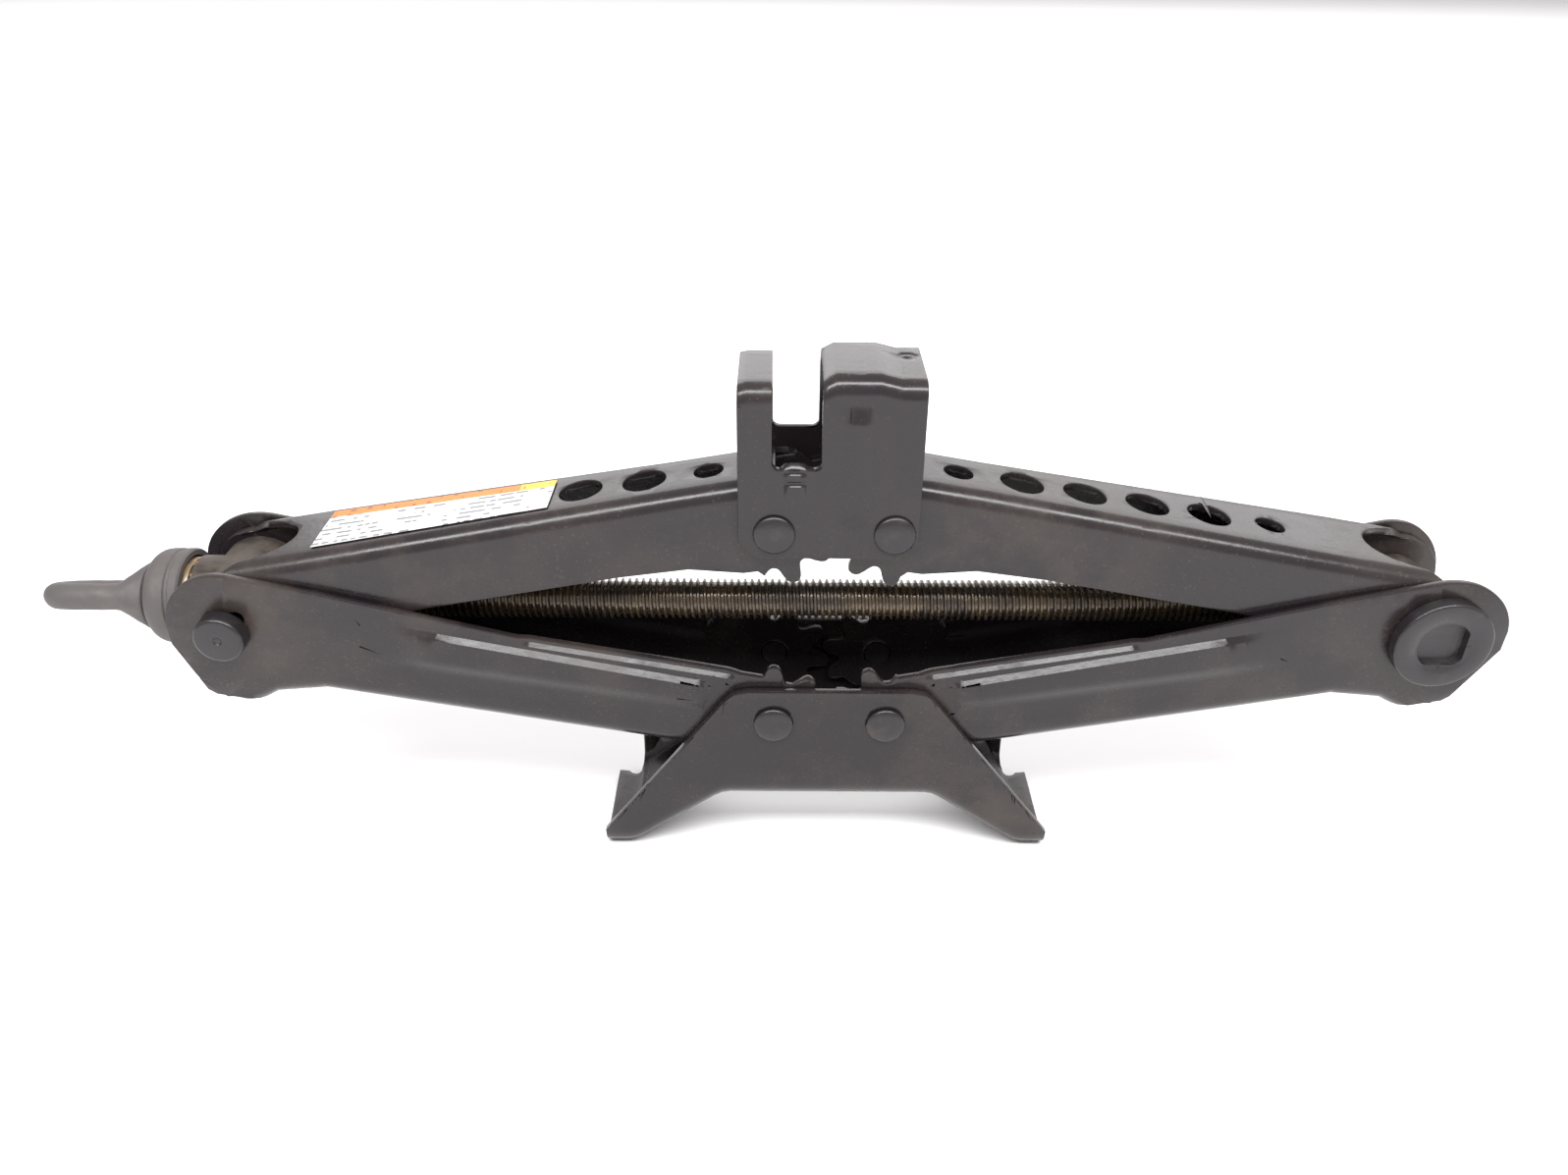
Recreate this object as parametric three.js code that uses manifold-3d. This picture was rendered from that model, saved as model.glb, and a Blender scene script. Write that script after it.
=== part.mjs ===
// Scissor jack with four channel arms, a lift screw and a crank eye.
// Millimetres, +Z up, +X along the lift screw away from the crank eye.
// The origin is on the ground plane, under the middle of the overall length.
import * as THREE from 'three';
import { mergeVertices } from 'three/addons/utils/BufferGeometryUtils.js';
import Module from 'manifold-3d';

const wasm = await Module();
wasm.setup();

// ---------------------------------------------------------------- driving dimensions

const degree = Math.PI / 180;
const touchGap = 0.3; // between pieces that touch
const cutExtra = 1; // how far a cutting tool runs past the face that it cuts

// linkage
const armLength = 157.2; // gear pivot to trunnion
const gearPivotHalf = 16.4; // half the distance between two geared pivots, and the gear pitch radius
const restAngle = 11 * degree; // arm to horizontal, as the jack lies
const footDepth = 78.6; // screw axis to ground at rest

// arms
const armWall = 2.2;
const armBend = 4.5;
const upperHalfAtSaddle = 13.2;
const upperWebAtSaddle = 14.6; // pivot line to the outside of the web
const upperWebAtTrunnion = 17.2;
const upperEndRadius = 15;
const lowerWebHeight = 16;
const lowerEndTopRadius = 18;
const shortEndReach = 16.4; // trunnion axis to the tip of the front wall, as an arm is drawn
const longEndReach = 19.6; // and of its back wall
const nestGap = 0.6; // upper arm wall to lower arm wall at the trunnions
const trunnionWidth = 38.8; // over the lower arm walls
const endBulge = 6.8; // depth that a lower arm gains at its end plates
const planarAtGear = 24; // length of parallel walls beside the gear pivot
const planarAtTrunnion = 28;

// gear lobes stamped on the arm walls
const toothPitch = 40 * degree;
const toothInset = 1.4; // mean circle of the lobes inside the pitch circle
const toothRise = 2.7;
const toothSharpness = 1.3;
const frontTooth = 10 * degree; // from the line of centres, at rest
const backTooth = frontTooth - toothPitch / 2;
const heelRadius = 14;

// holes in the upper webs
const largeHole = 12.4;
const smallHole = 8.4;
const holePitch = 18.3;
const firstHoleAt = 15.8;
const upperMouthDepth = 21; // web end to trunnion axis
const lowerMouthDepth = 24;
const holeCount = 6;

// pivots
const rivetShank = 8;
const rivetHead = 11.4;
const rivetDome = 1.8;
const rivetTail = 1.4; // upset head inside the saddle joint
const pinShank = 10;
const pinHead = 14;
const pinHeadHeight = 5.2;
const flangeDiameter = 27.4;
const flangeHeight = 4.2;
const flangeSocket = 13.6; // across flats
const flangeSocketDepth = 3;

// saddle
const saddleWall = 2.2;
const saddleBend = 4.5;
const saddleGap = 0.4;
const saddleLeftMargin = 9.8; // rivet to the edge of the saddle
const saddleRightMargin = 6.6;
const saddleTopLeft = 42.2; // heights are from the saddle rivets
const saddleTopCrest = 44.6;
const saddleTopRight = 43.2;
const saddleSkirt = 7.6;
const saddleChamfer = 5;
const slotFrom = -17;
const slotTo = -4;
const slotFloor = 19.2;
const slotCorner = 2;

// base
const baseWall = 2.6;
const baseBend = 6.5;
const baseGap = 0.4;
const baseTopMargin = 11.6; // rivet to the shoulder of the base
const baseTopHeight = 11.2; // above the base rivets
const baseArchHalf = 32;
const baseArchDrop = 29; // base rivets to the underside of the arch
const footHeel = 59.5;
const footToe = 68.4;
const toeLip = 2.2; // wall left standing at the toe
const backWallHalf = 60.3; // where the back wall stops
const foldRelief = 2.4; // radius of the round relief at the end of the back fold

// trunnions
const thrustBarrel = 25.4;
const bossWall = 5.7; // round the screw bore
const thrustBossReach = 13.4;
const nutWall = 2.7; // beside the screw bore

// screw train
const screwDiameter = 12;
const screwGap = 0.3;
const screwEndReach = 15.5; // past the nut trunnion axis
const washerDiameter = 23;
const washerThickness = 2.2;
const raceThickness = 4.5;
const capWall = 1.9;
const capPlay = 0.3; // beside the washer
const capLip = 1.5; // washer face to the open end of the cap, which clears the arm ends
const capLength = 11.6;
const capShoulder = 5;
const shankWall = 1.7; // round the screw bore
const coneLength = 9;
const coneDiameter = 21;
const eyeRod = 7.8;
const eyeCentreHalf = 8;
const eyeStraight = 11.5;
const eyeTilt = -27 * degree; // of the eye about the screw axis at rest
const rollPin = 4;

// label
const labelFrom = 60.5; // along the arm from the saddle pivot
const labelTo = 128;
const labelThickness = 0.3;
const labelEdge = 1.2; // web margin beside the label

// ---------------------------------------------------------------- derived places

const pivotRise = armLength * Math.sin(restAngle);
const trunnionHalf = gearPivotHalf + armLength * Math.cos(restAngle);
const saddleInnerHalf = upperHalfAtSaddle + saddleGap;
const saddleOuterHalf = saddleInnerHalf + saddleWall;
const lowerHalfAtBase = saddleOuterHalf + nestGap / 2 + armWall;
const lowerHalfAtTrunnion = trunnionWidth / 2;
const upperHalfAtTrunnion = lowerHalfAtTrunnion - armWall - nestGap;
const baseInnerHalf = lowerHalfAtBase + baseGap;
const baseOuterHalf = baseInnerHalf + baseWall;
const barrelHalf = upperHalfAtTrunnion - armWall - touchGap;
const headFrom = lowerHalfAtTrunnion + touchGap;
const screwBore = screwDiameter + 2 * screwGap;
const toothMean = gearPivotHalf - toothInset;
const saddleLeft = gearPivotHalf + saddleLeftMargin;
const saddleRight = gearPivotHalf + saddleRightMargin;
const baseTopHalf = gearPivotHalf + baseTopMargin;
const thrustBoss = screwBore + 2 * bossWall;
const nutBarrel = screwBore + 2 * nutWall;
const shankDiameter = screwBore + 2 * shankWall;
const capBore = washerDiameter + 2 * touchGap + 2 * capPlay;
const capDiameter = capBore + 2 * capWall;
const rivetHole = rivetShank + 2 * touchGap;
const pinHole = pinShank + 2 * touchGap;
const pinInner = screwBore / 2 + cutExtra;
const thrustFace = trunnionHalf + thrustBossReach;
const washerFace = thrustFace + touchGap;
const raceFace = washerFace + washerThickness + touchGap;
const capFace = washerFace + capLip;
const capEnd = capFace + capLength;
const shankEnd = raceFace + raceThickness + touchGap;
const coneFace = capEnd + touchGap;
const coneEnd = coneFace + coneLength;
const eyeTip = coneEnd + eyeStraight + eyeCentreHalf + eyeRod / 2;
const armReach = trunnionHalf + longEndReach * Math.cos(restAngle);
const lengthOffset = (eyeTip - armReach) / 2;

// ---------------------------------------------------------------- solids

const steelBlack = { color: 0x2c2a2c, roughness: 0.38, metalness: 0.35 };
const finishes = {
  paint: steelBlack,
  rivet: { color: 0x242224, roughness: 0.42, metalness: 0.4 },
  screw: { color: 0x4a3f36, roughness: 0.35, metalness: 0.8 },
  forging: { color: 0x4b4a4c, roughness: 0.6, metalness: 0.5 },
  trunnion: { color: 0x6a6058, roughness: 0.5, metalness: 0.6 },
  washer: { color: 0x9a8f80, roughness: 0.45, metalness: 0.7 },
  label: { color: 0xe9e8e4, roughness: 0.5, metalness: 0 },
};

const toSolid = (geometry) => {
  const bare = geometry.clone();
  bare.deleteAttribute('normal');
  bare.deleteAttribute('uv');
  const merged = mergeVertices(bare, 1e-5);
  const vertProperties = new Float32Array(merged.attributes.position.array);
  const triVerts = new Uint32Array(merged.index.array);
  return new wasm.Manifold(new wasm.Mesh({ numProp: 3, vertProperties, triVerts }));
};

const toGeometry = (solid) => {
  const mesh = solid.getMesh();
  const geometry = new THREE.BufferGeometry();
  geometry.setAttribute('position', new THREE.BufferAttribute(new Float32Array(mesh.vertProperties), 3));
  geometry.setIndex(new THREE.BufferAttribute(new Uint32Array(mesh.triVerts), 1));
  geometry.computeVertexNormals();
  return geometry;
};

const moved = (geometry, x, y, z) => geometry.clone().translate(x, y, z);

// A disc or rod along Y from one depth to another.
const rodY = (diameter, from, to, x, z, sides = 20) => {
  const rod = new THREE.CylinderGeometry(diameter / 2, diameter / 2, to - from, sides);
  return toSolid(moved(rod, x, (from + to) / 2, z));
};

// A rod along X.
const rodX = (diameter, from, to, sides = 24) => {
  const rod = new THREE.CylinderGeometry(diameter / 2, diameter / 2, to - from, sides);
  return toSolid(moved(rod.rotateZ(-Math.PI / 2), (from + to) / 2, 0, 0));
};

// A rod along Z.
const rodZ = (diameter, from, to, x, y, sides = 16) => {
  const rod = new THREE.CylinderGeometry(diameter / 2, diameter / 2, to - from, sides);
  return toSolid(moved(rod.rotateX(Math.PI / 2), x, y, (from + to) / 2));
};

const block = (x0, x1, y0, y1, z0, z1) => {
  const box = new THREE.BoxGeometry(x1 - x0, y1 - y0, z1 - z0);
  return toSolid(moved(box, (x0 + x1) / 2, (y0 + y1) / 2, (z0 + z1) / 2));
};

// A side outline in X and Z, extruded across the width.
const sidePlate = (points, from, to) => {
  const shape = new THREE.Shape(points.map(([x, z]) => new THREE.Vector2(x, z)));
  const plate = new THREE.ExtrudeGeometry(shape, { depth: to - from, bevelEnabled: false });
  return toSolid(moved(plate.rotateX(Math.PI / 2), 0, to, 0));
};

const arcPoints = (x, z, radius, from, to, steps) =>
  Array.from({ length: steps + 1 }, (_, i) => {
    const angle = from + ((to - from) * i) / steps;
    return [x + radius * Math.cos(angle), z + radius * Math.sin(angle)];
  });

// A closed solid through rings of equal length, each ring a loop of points at its own station.
const loft = (rings) => {
  const count = rings[0].length;
  const positions = rings.flat(2);
  const faces = [];
  for (let ring = 0; ring < rings.length - 1; ring += 1) {
    for (let i = 0; i < count; i += 1) {
      const next = (i + 1) % count;
      const a = ring * count + i;
      const b = ring * count + next;
      faces.push(a, b, b + count, a, b + count, a + count);
    }
  }
  const flat = rings[0].map(([, y, z]) => new THREE.Vector2(y, z));
  const last = (rings.length - 1) * count;
  for (const [a, b, c] of THREE.ShapeUtils.triangulateShape(flat, [])) {
    faces.push(c, b, a, last + a, last + b, last + c);
  }
  const geometry = new THREE.BufferGeometry();
  geometry.setAttribute('position', new THREE.Float32BufferAttribute(positions, 3));
  geometry.setIndex(faces);
  const solid = toSolid(geometry);
  if (solid.volume() > 0) {
    return solid;
  }
  const turned = [];
  for (let i = 0; i < faces.length; i += 3) {
    turned.push(faces[i], faces[i + 2], faces[i + 1]);
  }
  geometry.setIndex(turned);
  return toSolid(geometry);
};

// A folded sheet channel, open downwards, through stations of half width and web height.
const channel = (stations, wall, bend, depth) => {
  const steps = 3;
  const rings = stations.map(({ x, half, top }) => {
    const outer = arcPoints(half - bend, top - bend, bend, 0, Math.PI / 2, steps);
    const inner = arcPoints(half - bend, top - bend, bend - wall, 0, Math.PI / 2, steps);
    const right = [[half, top - depth], ...outer];
    const left = right.map(([y, z]) => [-y, z]).reverse();
    const rightInner = [[half - wall, top - depth], ...inner];
    const leftInner = rightInner.map(([y, z]) => [-y, z]);
    return [...right, ...left, ...leftInner, ...rightInner.reverse()].map(([y, z]) => [x, y, z]);
  });
  return loft(rings);
};

// A turned piece about X, from a profile of [x, radius] pairs that starts and ends on the axis.
const turnedX = (profile, sides = 24) => {
  const points = profile.map(([x, radius]) => new THREE.Vector2(radius, x));
  const lathe = new THREE.LatheGeometry(points, sides).rotateZ(-Math.PI / 2);
  const solid = toSolid(lathe);
  if (solid.volume() > 0) {
    return solid;
  }
  return toSolid(new THREE.LatheGeometry(points.reverse(), sides).rotateZ(-Math.PI / 2));
};

const root = new THREE.Group();
root.position.set(lengthOffset, 0, footDepth);

const addMesh = (parent, name, solid, finish) => {
  const plain = solid.asOriginal().simplify(0.02);
  const mesh = new THREE.Mesh(toGeometry(plain), new THREE.MeshStandardMaterial(finishes[finish]));
  mesh.name = name;
  parent.add(mesh);
  return mesh;
};

// ---------------------------------------------------------------- arms
// An arm is drawn with its gear pivot at the origin, its trunnion along +X, its web on +Z.

// Rounded gear lobes over the angles that meet the other arm, and a plain heel above them.
const gearOutline = (firstTooth) => {
  const centreLine = -(Math.PI - restAngle);
  const from = centreLine + 100 * degree;
  const to = centreLine - 40 * degree;
  const steps = 42;
  const points = [[0, 0]];
  for (let i = 0; i <= steps; i += 1) {
    const angle = from + ((to - from) * i) / steps;
    const phase = ((angle - centreLine - firstTooth) * 2 * Math.PI) / toothPitch;
    const wave = Math.tanh(toothSharpness * Math.cos(phase)) / Math.tanh(toothSharpness);
    const radius = toothMean + toothRise * wave;
    points.push([radius * Math.cos(angle), radius * Math.sin(angle)]);
  }
  return points;
};

const heelOutline = () => {
  const centreLine = -(Math.PI - restAngle);
  return [[0, 0], ...arcPoints(0, 0, heelRadius, centreLine - 38 * degree, -1.5 * Math.PI, 12)];
};

const upperOutline = [
  [-3, upperWebAtTrunnion],
  [-3, 0],
  [7, -12.2],
  [11, -12],
  [26, -8],
  [46, -6.6],
  [100, -5.4],
  [armLength - 22, -6.4],
  [armLength - 9, -12],
  [armLength, -10],
  [armLength, upperEndRadius - 1],
  [armLength - 5, upperWebAtTrunnion - 1],
  [armLength - 9, upperWebAtTrunnion + 1],
];

const lowerOutline = [
  [-3, lowerWebHeight + 1],
  [-3, 0],
  [6, -13.4],
  [armLength - 83, -13.4],
  [armLength - 24, -17.3],
  [armLength, -lowerEndTopRadius],
  [armLength, lowerWebHeight + endBulge],
  [armLength - 9, lowerWebHeight + endBulge * 0.97],
  [armLength - 15, lowerWebHeight + endBulge * 0.7],
  [armLength - 21, lowerWebHeight + endBulge * 0.3],
  [armLength - planarAtTrunnion, lowerWebHeight + 0.5],
];

// The end plate round a lower trunnion: an ellipse on top, a straight corner cut below.
const lowerEndOutline = (reach) => {
  const steps = 8;
  const cap = Array.from({ length: steps + 1 }, (_, i) => {
    const angle = -Math.PI / 2 + ((Math.PI / 2 + 5 * degree) * i) / steps;
    return [armLength + reach * Math.cos(angle), lowerEndTopRadius * Math.sin(angle)];
  });
  return [
    [armLength - 4, -lowerEndTopRadius + 1],
    ...cap,
    [armLength + reach - 1.4, 7.5],
    [armLength + 5.5, lowerWebHeight + endBulge * 0.82],
    [armLength + 3, lowerWebHeight + endBulge],
    [armLength - 4, lowerWebHeight + endBulge],
  ];
};

// The front and back walls differ: their lobes are half a pitch apart, so that the same
// stamping, turned round, meshes with itself.
const armOutline = (level, width) => {
  const walls = [
    { from: -width, to: -2, tooth: frontTooth, reach: shortEndReach },
    { from: 2, to: width, tooth: backTooth, reach: longEndReach },
  ];
  let outline = sidePlate(level === 'upper' ? upperOutline : lowerOutline, -width, width);
  outline = outline.add(sidePlate(heelOutline(), -width, width));
  for (const { from, to, tooth, reach } of walls) {
    outline = outline.add(sidePlate(gearOutline(tooth), from, to));
    if (level === 'lower') {
      outline = outline.add(sidePlate(lowerEndOutline(reach), from, to));
    }
  }
  if (level === 'upper') {
    outline = outline.add(rodY(2 * upperEndRadius, -width, width, armLength, 0, 32));
  }
  return outline;
};

// The web stops short of the trunnion in a round-bottomed mouth.
const webMouth = (depth, half, web) => {
  const round = 16;
  const at = armLength - depth + round;
  const bottom = new THREE.CylinderGeometry(half, half, 30, 20).rotateX(Math.PI / 2);
  bottom.scale(round / half, 1, 1);
  const opening = block(at, armLength + 35, -half, half, web - 12, web + 30);
  return toSolid(moved(bottom, at, 0, web + 4)).add(opening);
};

const armSolid = (level) => {
  const isUpper = level === 'upper';
  const gearWeb = isUpper ? upperWebAtSaddle : lowerWebHeight;
  const endWeb = isUpper ? upperWebAtTrunnion : lowerWebHeight;
  const gearHalf = isUpper ? upperHalfAtSaddle : lowerHalfAtBase;
  const endHalf = isUpper ? upperHalfAtTrunnion : lowerHalfAtTrunnion;
  // a lower web bulges outwards before it ends, so that the walls run on as deep end plates
  const bulge = isUpper ? 0 : endBulge;
  const deep = isUpper ? 0 : endBulge + 2 * armBend;
  const across = endHalf + cutExtra;
  const slope = (endWeb - gearWeb) / armLength;
  const stations = [
    { x: -30, half: gearHalf, top: gearWeb - 30 * slope },
    { x: planarAtGear, half: gearHalf, top: gearWeb + planarAtGear * slope },
    { x: armLength - planarAtTrunnion, half: endHalf, top: endWeb - planarAtTrunnion * slope },
    { x: armLength - planarAtTrunnion / 2, half: endHalf, top: endWeb + bulge * 0.6 },
    { x: armLength, half: endHalf, top: endWeb + deep },
    { x: armLength + 30, half: endHalf, top: endWeb + deep },
  ];
  let arm = channel(stations, armWall, armBend, endWeb + 40).intersect(armOutline(level, across));
  arm = arm.subtract(rodY(rivetHole, -across, across, 0, 0, 16));
  arm = arm.subtract(rodY(pinHole, -across, across, armLength, 0, 16));
  if (isUpper) {
    arm = arm.subtract(webMouth(upperMouthDepth, endHalf - armBend, endWeb));
    for (let i = 0; i < holeCount; i += 1) {
      const isEnd = i === 0 || i === holeCount - 1;
      const size = isEnd ? smallHole : largeHole;
      arm = arm.subtract(rodZ(size, gearWeb - 6, endWeb + 6, firstHoleAt + i * holePitch, 0));
    }
    return arm;
  }
  const inner = endHalf - armWall;
  arm = arm.subtract(webMouth(lowerMouthDepth, inner - 2, endWeb));
  return arm.subtract(block(armLength - lowerMouthDepth + 8, armLength + 35, -inner, inner, 4, 60));
};

// Four quadrants: turning one arm by half a turn about an axis gives the other three.
const quadrant = (name, turn) => {
  const group = new THREE.Group();
  if (turn) {
    group.rotation[turn] = Math.PI;
  }
  const pivot = new THREE.Group();
  pivot.position.set(gearPivotHalf, 0, pivotRise);
  pivot.rotation.y = restAngle;
  group.add(pivot);
  root.add(group);
  group.name = `${name}_quadrant`;
  return pivot;
};

const upperRight = quadrant('upper_right', null);
const upperLeft = quadrant('upper_left', 'z');
const lowerRight = quadrant('lower_right', 'x');
const lowerLeft = quadrant('lower_left', 'y');
const upperArm = armSolid('upper');
const lowerArm = armSolid('lower');
addMesh(lowerLeft, 'lower_arm_left', lowerArm, 'paint');
addMesh(lowerRight, 'lower_arm_right', lowerArm, 'paint');
addMesh(upperLeft, 'upper_arm_left', upperArm, 'paint');
addMesh(upperRight, 'upper_arm_right', upperArm, 'paint');

// ---------------------------------------------------------------- label

const labelHalfAt = (along) => {
  const share = (along - planarAtGear) / (armLength - planarAtTrunnion - planarAtGear);
  const half = upperHalfAtSaddle + (upperHalfAtTrunnion - upperHalfAtSaddle) * share;
  return half - armBend - labelEdge;
};
const labelRing = (along) => {
  const half = labelHalfAt(along);
  const web = upperWebAtSaddle + ((upperWebAtTrunnion - upperWebAtSaddle) * along) / armLength;
  const low = web + touchGap;
  return [
    [along, -half, low],
    [along, half, low],
    [along, half, low + labelThickness],
    [along, -half, low + labelThickness],
  ];
};
addMesh(upperLeft, 'warning_label', loft([labelRing(labelFrom), labelRing(labelTo)]), 'label');

// ---------------------------------------------------------------- saddle

const saddleSolid = () => {
  const stations = [
    [-saddleLeft, saddleTopLeft - 0.6],
    [-saddleLeft + 2.5, saddleTopLeft],
    [slotTo - 1, saddleTopLeft],
    [slotTo + 3.5, saddleTopCrest],
    [11, saddleTopCrest],
    [16.5, saddleTopRight],
    [saddleRight, saddleTopRight],
  ].map(([x, top]) => ({ x, half: saddleOuterHalf, top }));
  const folded = channel(stations, saddleWall, saddleBend, saddleTopCrest + saddleSkirt + 5);
  const outline = [
    [-saddleLeft, 60],
    [-saddleLeft, saddleChamfer - saddleSkirt],
    [-saddleLeft + saddleChamfer, -saddleSkirt],
    [saddleRight - saddleChamfer, -saddleSkirt],
    [saddleRight, saddleChamfer - saddleSkirt],
    [saddleRight, 60],
  ];
  const slot = [
    [slotFrom, 60],
    ...arcPoints(slotFrom + slotCorner, slotFloor + slotCorner, slotCorner, Math.PI, 1.5 * Math.PI, 4),
    ...arcPoints(slotTo - slotCorner, slotFloor + slotCorner, slotCorner, 1.5 * Math.PI, 2 * Math.PI, 4),
    [slotTo, 60],
  ];
  const across = saddleOuterHalf + cutExtra;
  let saddle = folded.intersect(sidePlate(outline, -across, across));
  saddle = saddle.subtract(sidePlate(slot, -across, across));
  for (const side of [-1, 1]) {
    saddle = saddle.subtract(rodY(rivetHole, -across, across, side * gearPivotHalf, 0, 16));
  }
  return saddle;
};

const saddleGroup = new THREE.Group();
saddleGroup.position.z = pivotRise;
root.add(saddleGroup);
addMesh(saddleGroup, 'saddle_bracket', saddleSolid(), 'paint');

// ---------------------------------------------------------------- base

const baseSolid = () => {
  const sole = footDepth - pivotRise; // base rivets to ground
  const stations = [
    [-footToe, sole],
    [-footHeel, sole],
    [-baseArchHalf, baseArchDrop],
    [baseArchHalf, baseArchDrop],
    [footHeel, sole],
    [footToe, sole],
  ].map(([x, top]) => ({ x, half: baseOuterHalf, top }));
  const folded = channel(stations, baseWall, baseBend, sole + 30);
  // drawn upside down here, so heights count downwards from the rivets
  const outline = [
    [-footToe, sole + 5],
    [-footToe, sole - baseWall - toeLip],
    [-baseTopHalf - 3, -baseTopHeight + 4],
    [-baseTopHalf, -baseTopHeight + 1],
    [-baseTopHalf + 4, -baseTopHeight],
    [baseTopHalf - 4, -baseTopHeight],
    [baseTopHalf, -baseTopHeight + 1],
    [baseTopHalf + 3, -baseTopHeight + 4],
    [footToe, sole - baseWall - toeLip],
    [footToe, sole + 5],
  ];
  const across = baseOuterHalf + cutExtra;
  let base = folded.intersect(sidePlate(outline, -across, across));
  for (const side of [-1, 1]) {
    base = base.subtract(rodY(rivetHole, -across, across, side * gearPivotHalf, 0, 16));
    // the back wall and its fold stop short of each toe, with a round relief in the sole
    const inner = Math.min(side * backWallHalf, side * (footToe + 5));
    const outer = Math.max(side * backWallHalf, side * (footToe + 5));
    const fold = -baseOuterHalf + baseBend - 0.5;
    const reliefAt = side * (backWallHalf + foldRelief);
    base = base.subtract(block(inner, outer, -across, fold, -5, sole + 5));
    base = base.subtract(rodZ(2 * foldRelief, sole - baseBend, sole + 5, reliefAt, fold));
  }
  return base;
};

const baseGroup = new THREE.Group();
baseGroup.position.z = -pivotRise;
baseGroup.rotation.x = Math.PI;
root.add(baseGroup);
addMesh(baseGroup, 'base_bracket', baseSolid(), 'paint');

// ---------------------------------------------------------------- rivets and pins

// A rivet along +Y: shank from `inner` to `outer`, a low dome outside and an optional tail inside.
const rivetSolid = (inner, outer, tail) => {
  const dome = rivetHead / 2;
  const profile = [
    [inner - tail, 0],
    [inner - tail, tail ? dome : rivetShank / 2],
    [inner, tail ? dome : rivetShank / 2],
    [inner, rivetShank / 2],
    [outer, rivetShank / 2],
    [outer, dome],
    [outer + rivetDome * 0.45, dome * 0.94],
    [outer + rivetDome * 0.8, dome * 0.7],
    [outer + rivetDome, dome * 0.35],
    [outer + rivetDome, 0],
  ];
  const unique = profile.filter(([x, r], i) => i === 0 || x !== profile[i - 1][0] || r !== profile[i - 1][1]);
  return turnedX(unique, 16).rotate([0, 0, 90]);
};

const addRivets = (parent, name, inner, outer, tail) => {
  for (const [sideName, side] of [['left', -1], ['right', 1]]) {
    for (const [faceName, face] of [['front', -1], ['back', 1]]) {
      const solid = rivetSolid(inner, outer, tail);
      const placed = face < 0 ? solid.rotate([0, 0, 180]) : solid;
      addMesh(parent, `${name}_${sideName}_${faceName}`, placed.translate([side * gearPivotHalf, 0, 0]), 'rivet');
    }
  }
};

const baseLevel = new THREE.Group();
baseLevel.position.z = -pivotRise;
root.add(baseLevel);
addRivets(baseLevel, 'base_rivet', lowerHalfAtBase - armWall, baseOuterHalf + touchGap, 0);
const saddleTailFace = upperHalfAtSaddle - armWall - touchGap;
addRivets(saddleGroup, 'saddle_rivet', saddleTailFace, saddleOuterHalf + touchGap, rivetTail);

// A trunnion pin along +Y with a plain head.
const plainPin = () =>
  turnedX(
    [
      [pinInner, 0],
      [pinInner, pinShank / 2],
      [headFrom, pinShank / 2],
      [headFrom, pinHead / 2],
      [headFrom + pinHeadHeight - 0.9, pinHead / 2],
      [headFrom + pinHeadHeight, pinHead / 2 - 0.9],
      [headFrom + pinHeadHeight, 0],
    ],
    20,
  ).rotate([0, 0, 90]);

const flangedPin = () => {
  const face = headFrom + flangeHeight;
  const pin = turnedX(
    [
      [pinInner, 0],
      [pinInner, pinShank / 2],
      [headFrom, pinShank / 2],
      [headFrom, flangeDiameter / 2],
      [face - 0.8, flangeDiameter / 2],
      [face, flangeDiameter / 2 - 0.8],
      [face, 0],
    ],
    28,
  ).rotate([0, 0, 90]);
  const corners = flangeSocket / Math.cos(Math.PI / 6);
  return pin.subtract(rodY(corners, face - flangeSocketDepth, face + cutExtra, 0, 0, 6));
};

for (const [faceName, turn] of [['front', 180], ['back', 0]]) {
  const left = plainPin().rotate([0, 0, turn]).translate([-trunnionHalf, 0, 0]);
  addMesh(root, `thrust_pin_${faceName}`, left, 'rivet');
  const right = flangedPin().rotate([0, 0, turn]).translate([trunnionHalf, 0, 0]);
  addMesh(root, `nut_flange_pin_${faceName}`, right, 'rivet');
}

// ---------------------------------------------------------------- trunnions

const pinSocket = (solid, x) =>
  solid
    .subtract(rodY(pinHole, pinInner - touchGap, barrelHalf + cutExtra, x, 0, 16))
    .subtract(rodY(pinHole, -barrelHalf - cutExtra, -pinInner + touchGap, x, 0, 16));

const thrustTrunnion = () => {
  let solid = rodY(thrustBarrel, -barrelHalf, barrelHalf, -trunnionHalf, 0, 28);
  solid = solid.add(rodX(thrustBoss, -thrustFace, -trunnionHalf, 24));
  solid = solid.subtract(block(-thrustFace - 10, -thrustFace, -40, 40, -40, 40));
  solid = pinSocket(solid, -trunnionHalf);
  return solid.subtract(rodX(screwBore, -thrustFace - cutExtra, -trunnionHalf + thrustBarrel));
};

const nutTrunnion = () => {
  const solid = pinSocket(rodY(nutBarrel, -barrelHalf, barrelHalf, trunnionHalf, 0, 24), trunnionHalf);
  return solid.subtract(rodX(screwBore, trunnionHalf - nutBarrel, trunnionHalf + nutBarrel));
};

addMesh(root, 'thrust_trunnion', thrustTrunnion(), 'trunnion');
addMesh(root, 'nut_trunnion', nutTrunnion(), 'trunnion');

// ---------------------------------------------------------------- screw train

const ringX = (outer, from, to) => rodX(outer, from, to, 24).subtract(rodX(screwBore, from - 1, to + 1));

addMesh(root, 'thrust_washer', ringX(washerDiameter, -washerFace - washerThickness, -washerFace), 'washer');
addMesh(root, 'thrust_race', ringX(washerDiameter, -shankEnd + touchGap, -raceFace), 'washer');

const screwTail = coneFace - 2;
const screwTip = trunnionHalf + screwEndReach;
const pinAt = (shankEnd + capEnd) / 2;

const tilted = (solid) => solid.rotate([eyeTilt / degree, 0, 0]);

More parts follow.
